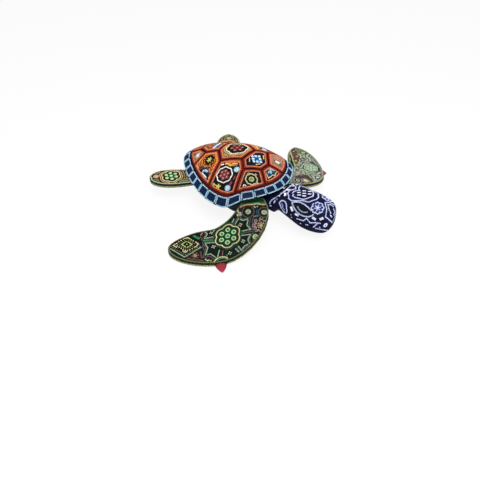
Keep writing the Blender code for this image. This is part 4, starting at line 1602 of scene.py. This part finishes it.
def pressed_beads():
    """Flat beads side by side: cells as wide as a bead, each with its own tint."""
    finish = Finish("pressed_beads")
    cells = {"Vector": finish.here(), "Scale": 1 / (PITCH * MM), "Randomness": 0.35}
    flat = {"voronoi_dimensions": "2D"}
    gap, cell = (finish.node("ShaderNodeTexVoronoi", flat, output, **cells) for output in (0, 1))
    edge = finish.node("ShaderNodeMapRange", None, Value=gap, From_Min=0.36, From_Max=0.5)
    tint = finish.node("ShaderNodeSeparateColor", None, Color=cell)
    glass = finish.mix(tint, "navy", "midnight")
    finish.set(Base_Color=finish.mix(edge, glass, "black"), Roughness=0.28 + 0.4 * edge)
    finish.bump(0.5, 0.0004, 1 - edge)
    return finish.material


# %% Finishes of the carved solids
SOLID_FINISHES = {
    "dowel": wood(),
    "belly": pressed_beads(),
    "scute": WAX_FINISH["red"],
    "body_core": WAX_FINISH["body"],
    "flipper": WAX_FINISH["green"],
}
for name, node in frame["nodes"].items():
    fitting = [finish for word, finish in SOLID_FINISHES.items() if word in name]
    node.data.materials.clear()
    node.data.materials.append(fitting[0] if fitting else WAX_FINISH["dark"])
print("solids finished:", len(frame["nodes"]))

# %% [markdown]
# ## Light, floor and background
# One large soft lamp from the front right and an even white world light the turtle as a plain
# studio would. The floor is white paper. It shows itself to the camera mostly as plain white, so
# that the background is as pale as in the photograph while the turtle's shadow stays.

# %% Light, floor and background
SKY_LIGHT, SKY_SEEN = 0.6, 0.4  # what the world sheds, and what is added where it is seen
KEY_PLACE, KEY_AIM, KEY_WIDTH, KEY_POWER = Vector((0.5, -0.5, 1.1)), Vector((0, 0, 0.03)), 0.7, 15.0
FLOOR_REACH, PAPER_GLOW = 6.0, 0.88
WHITE = (1, 1, 1, 1)

world = bpy.data.worlds.new("studio")
bpy.context.scene.world = world
sky = Finish("sky", world)
sky.set(Color=WHITE, Strength=SKY_LIGHT + SKY_SEEN * sky.seen_directly())

lamp = bpy.data.lights.new("key", "AREA")
lamp.shape, lamp.size, lamp.energy = "DISK", KEY_WIDTH, KEY_POWER
key = placed("key", lamp)
key.location = KEY_PLACE
key.rotation_euler = (KEY_PLACE - KEY_AIM).to_track_quat("Z", "Y").to_euler()

floor_mesh = bpy.data.meshes.new("floor")
floor_mesh.from_pydata([(x, y, 0.0) for x, y in square(FLOOR_REACH).tolist()], [], [(0, 1, 2, 3)])
floor = placed("floor", floor_mesh)
paper = Finish("floor_paper")
paper.set(Base_Color=(0.9, 0.9, 0.9, 1.0), Roughness=0.9, Specular_IOR_Level=0.1)
glow = paper.node("ShaderNodeEmission", None, Color=WHITE, Strength=1.0)
lit = Wire(paper, paper.surface.outputs[0])
share = PAPER_GLOW * paper.seen_directly()
blend = paper.node("ShaderNodeMixShader", None, **{"0": share, "1": lit, "2": glow})
paper.plug(paper.tree.nodes["Material Output"], {"Surface": blend})
floor_mesh.materials.append(paper.material)

bpy.context.scene.view_settings.view_transform = "Standard"

# %% [markdown]
# ## Beads in all
# The beads may stand a little proud of the imported solids, and no more. Their number is printed.

# %% The number of beads
print("beads in all:", laid(""))
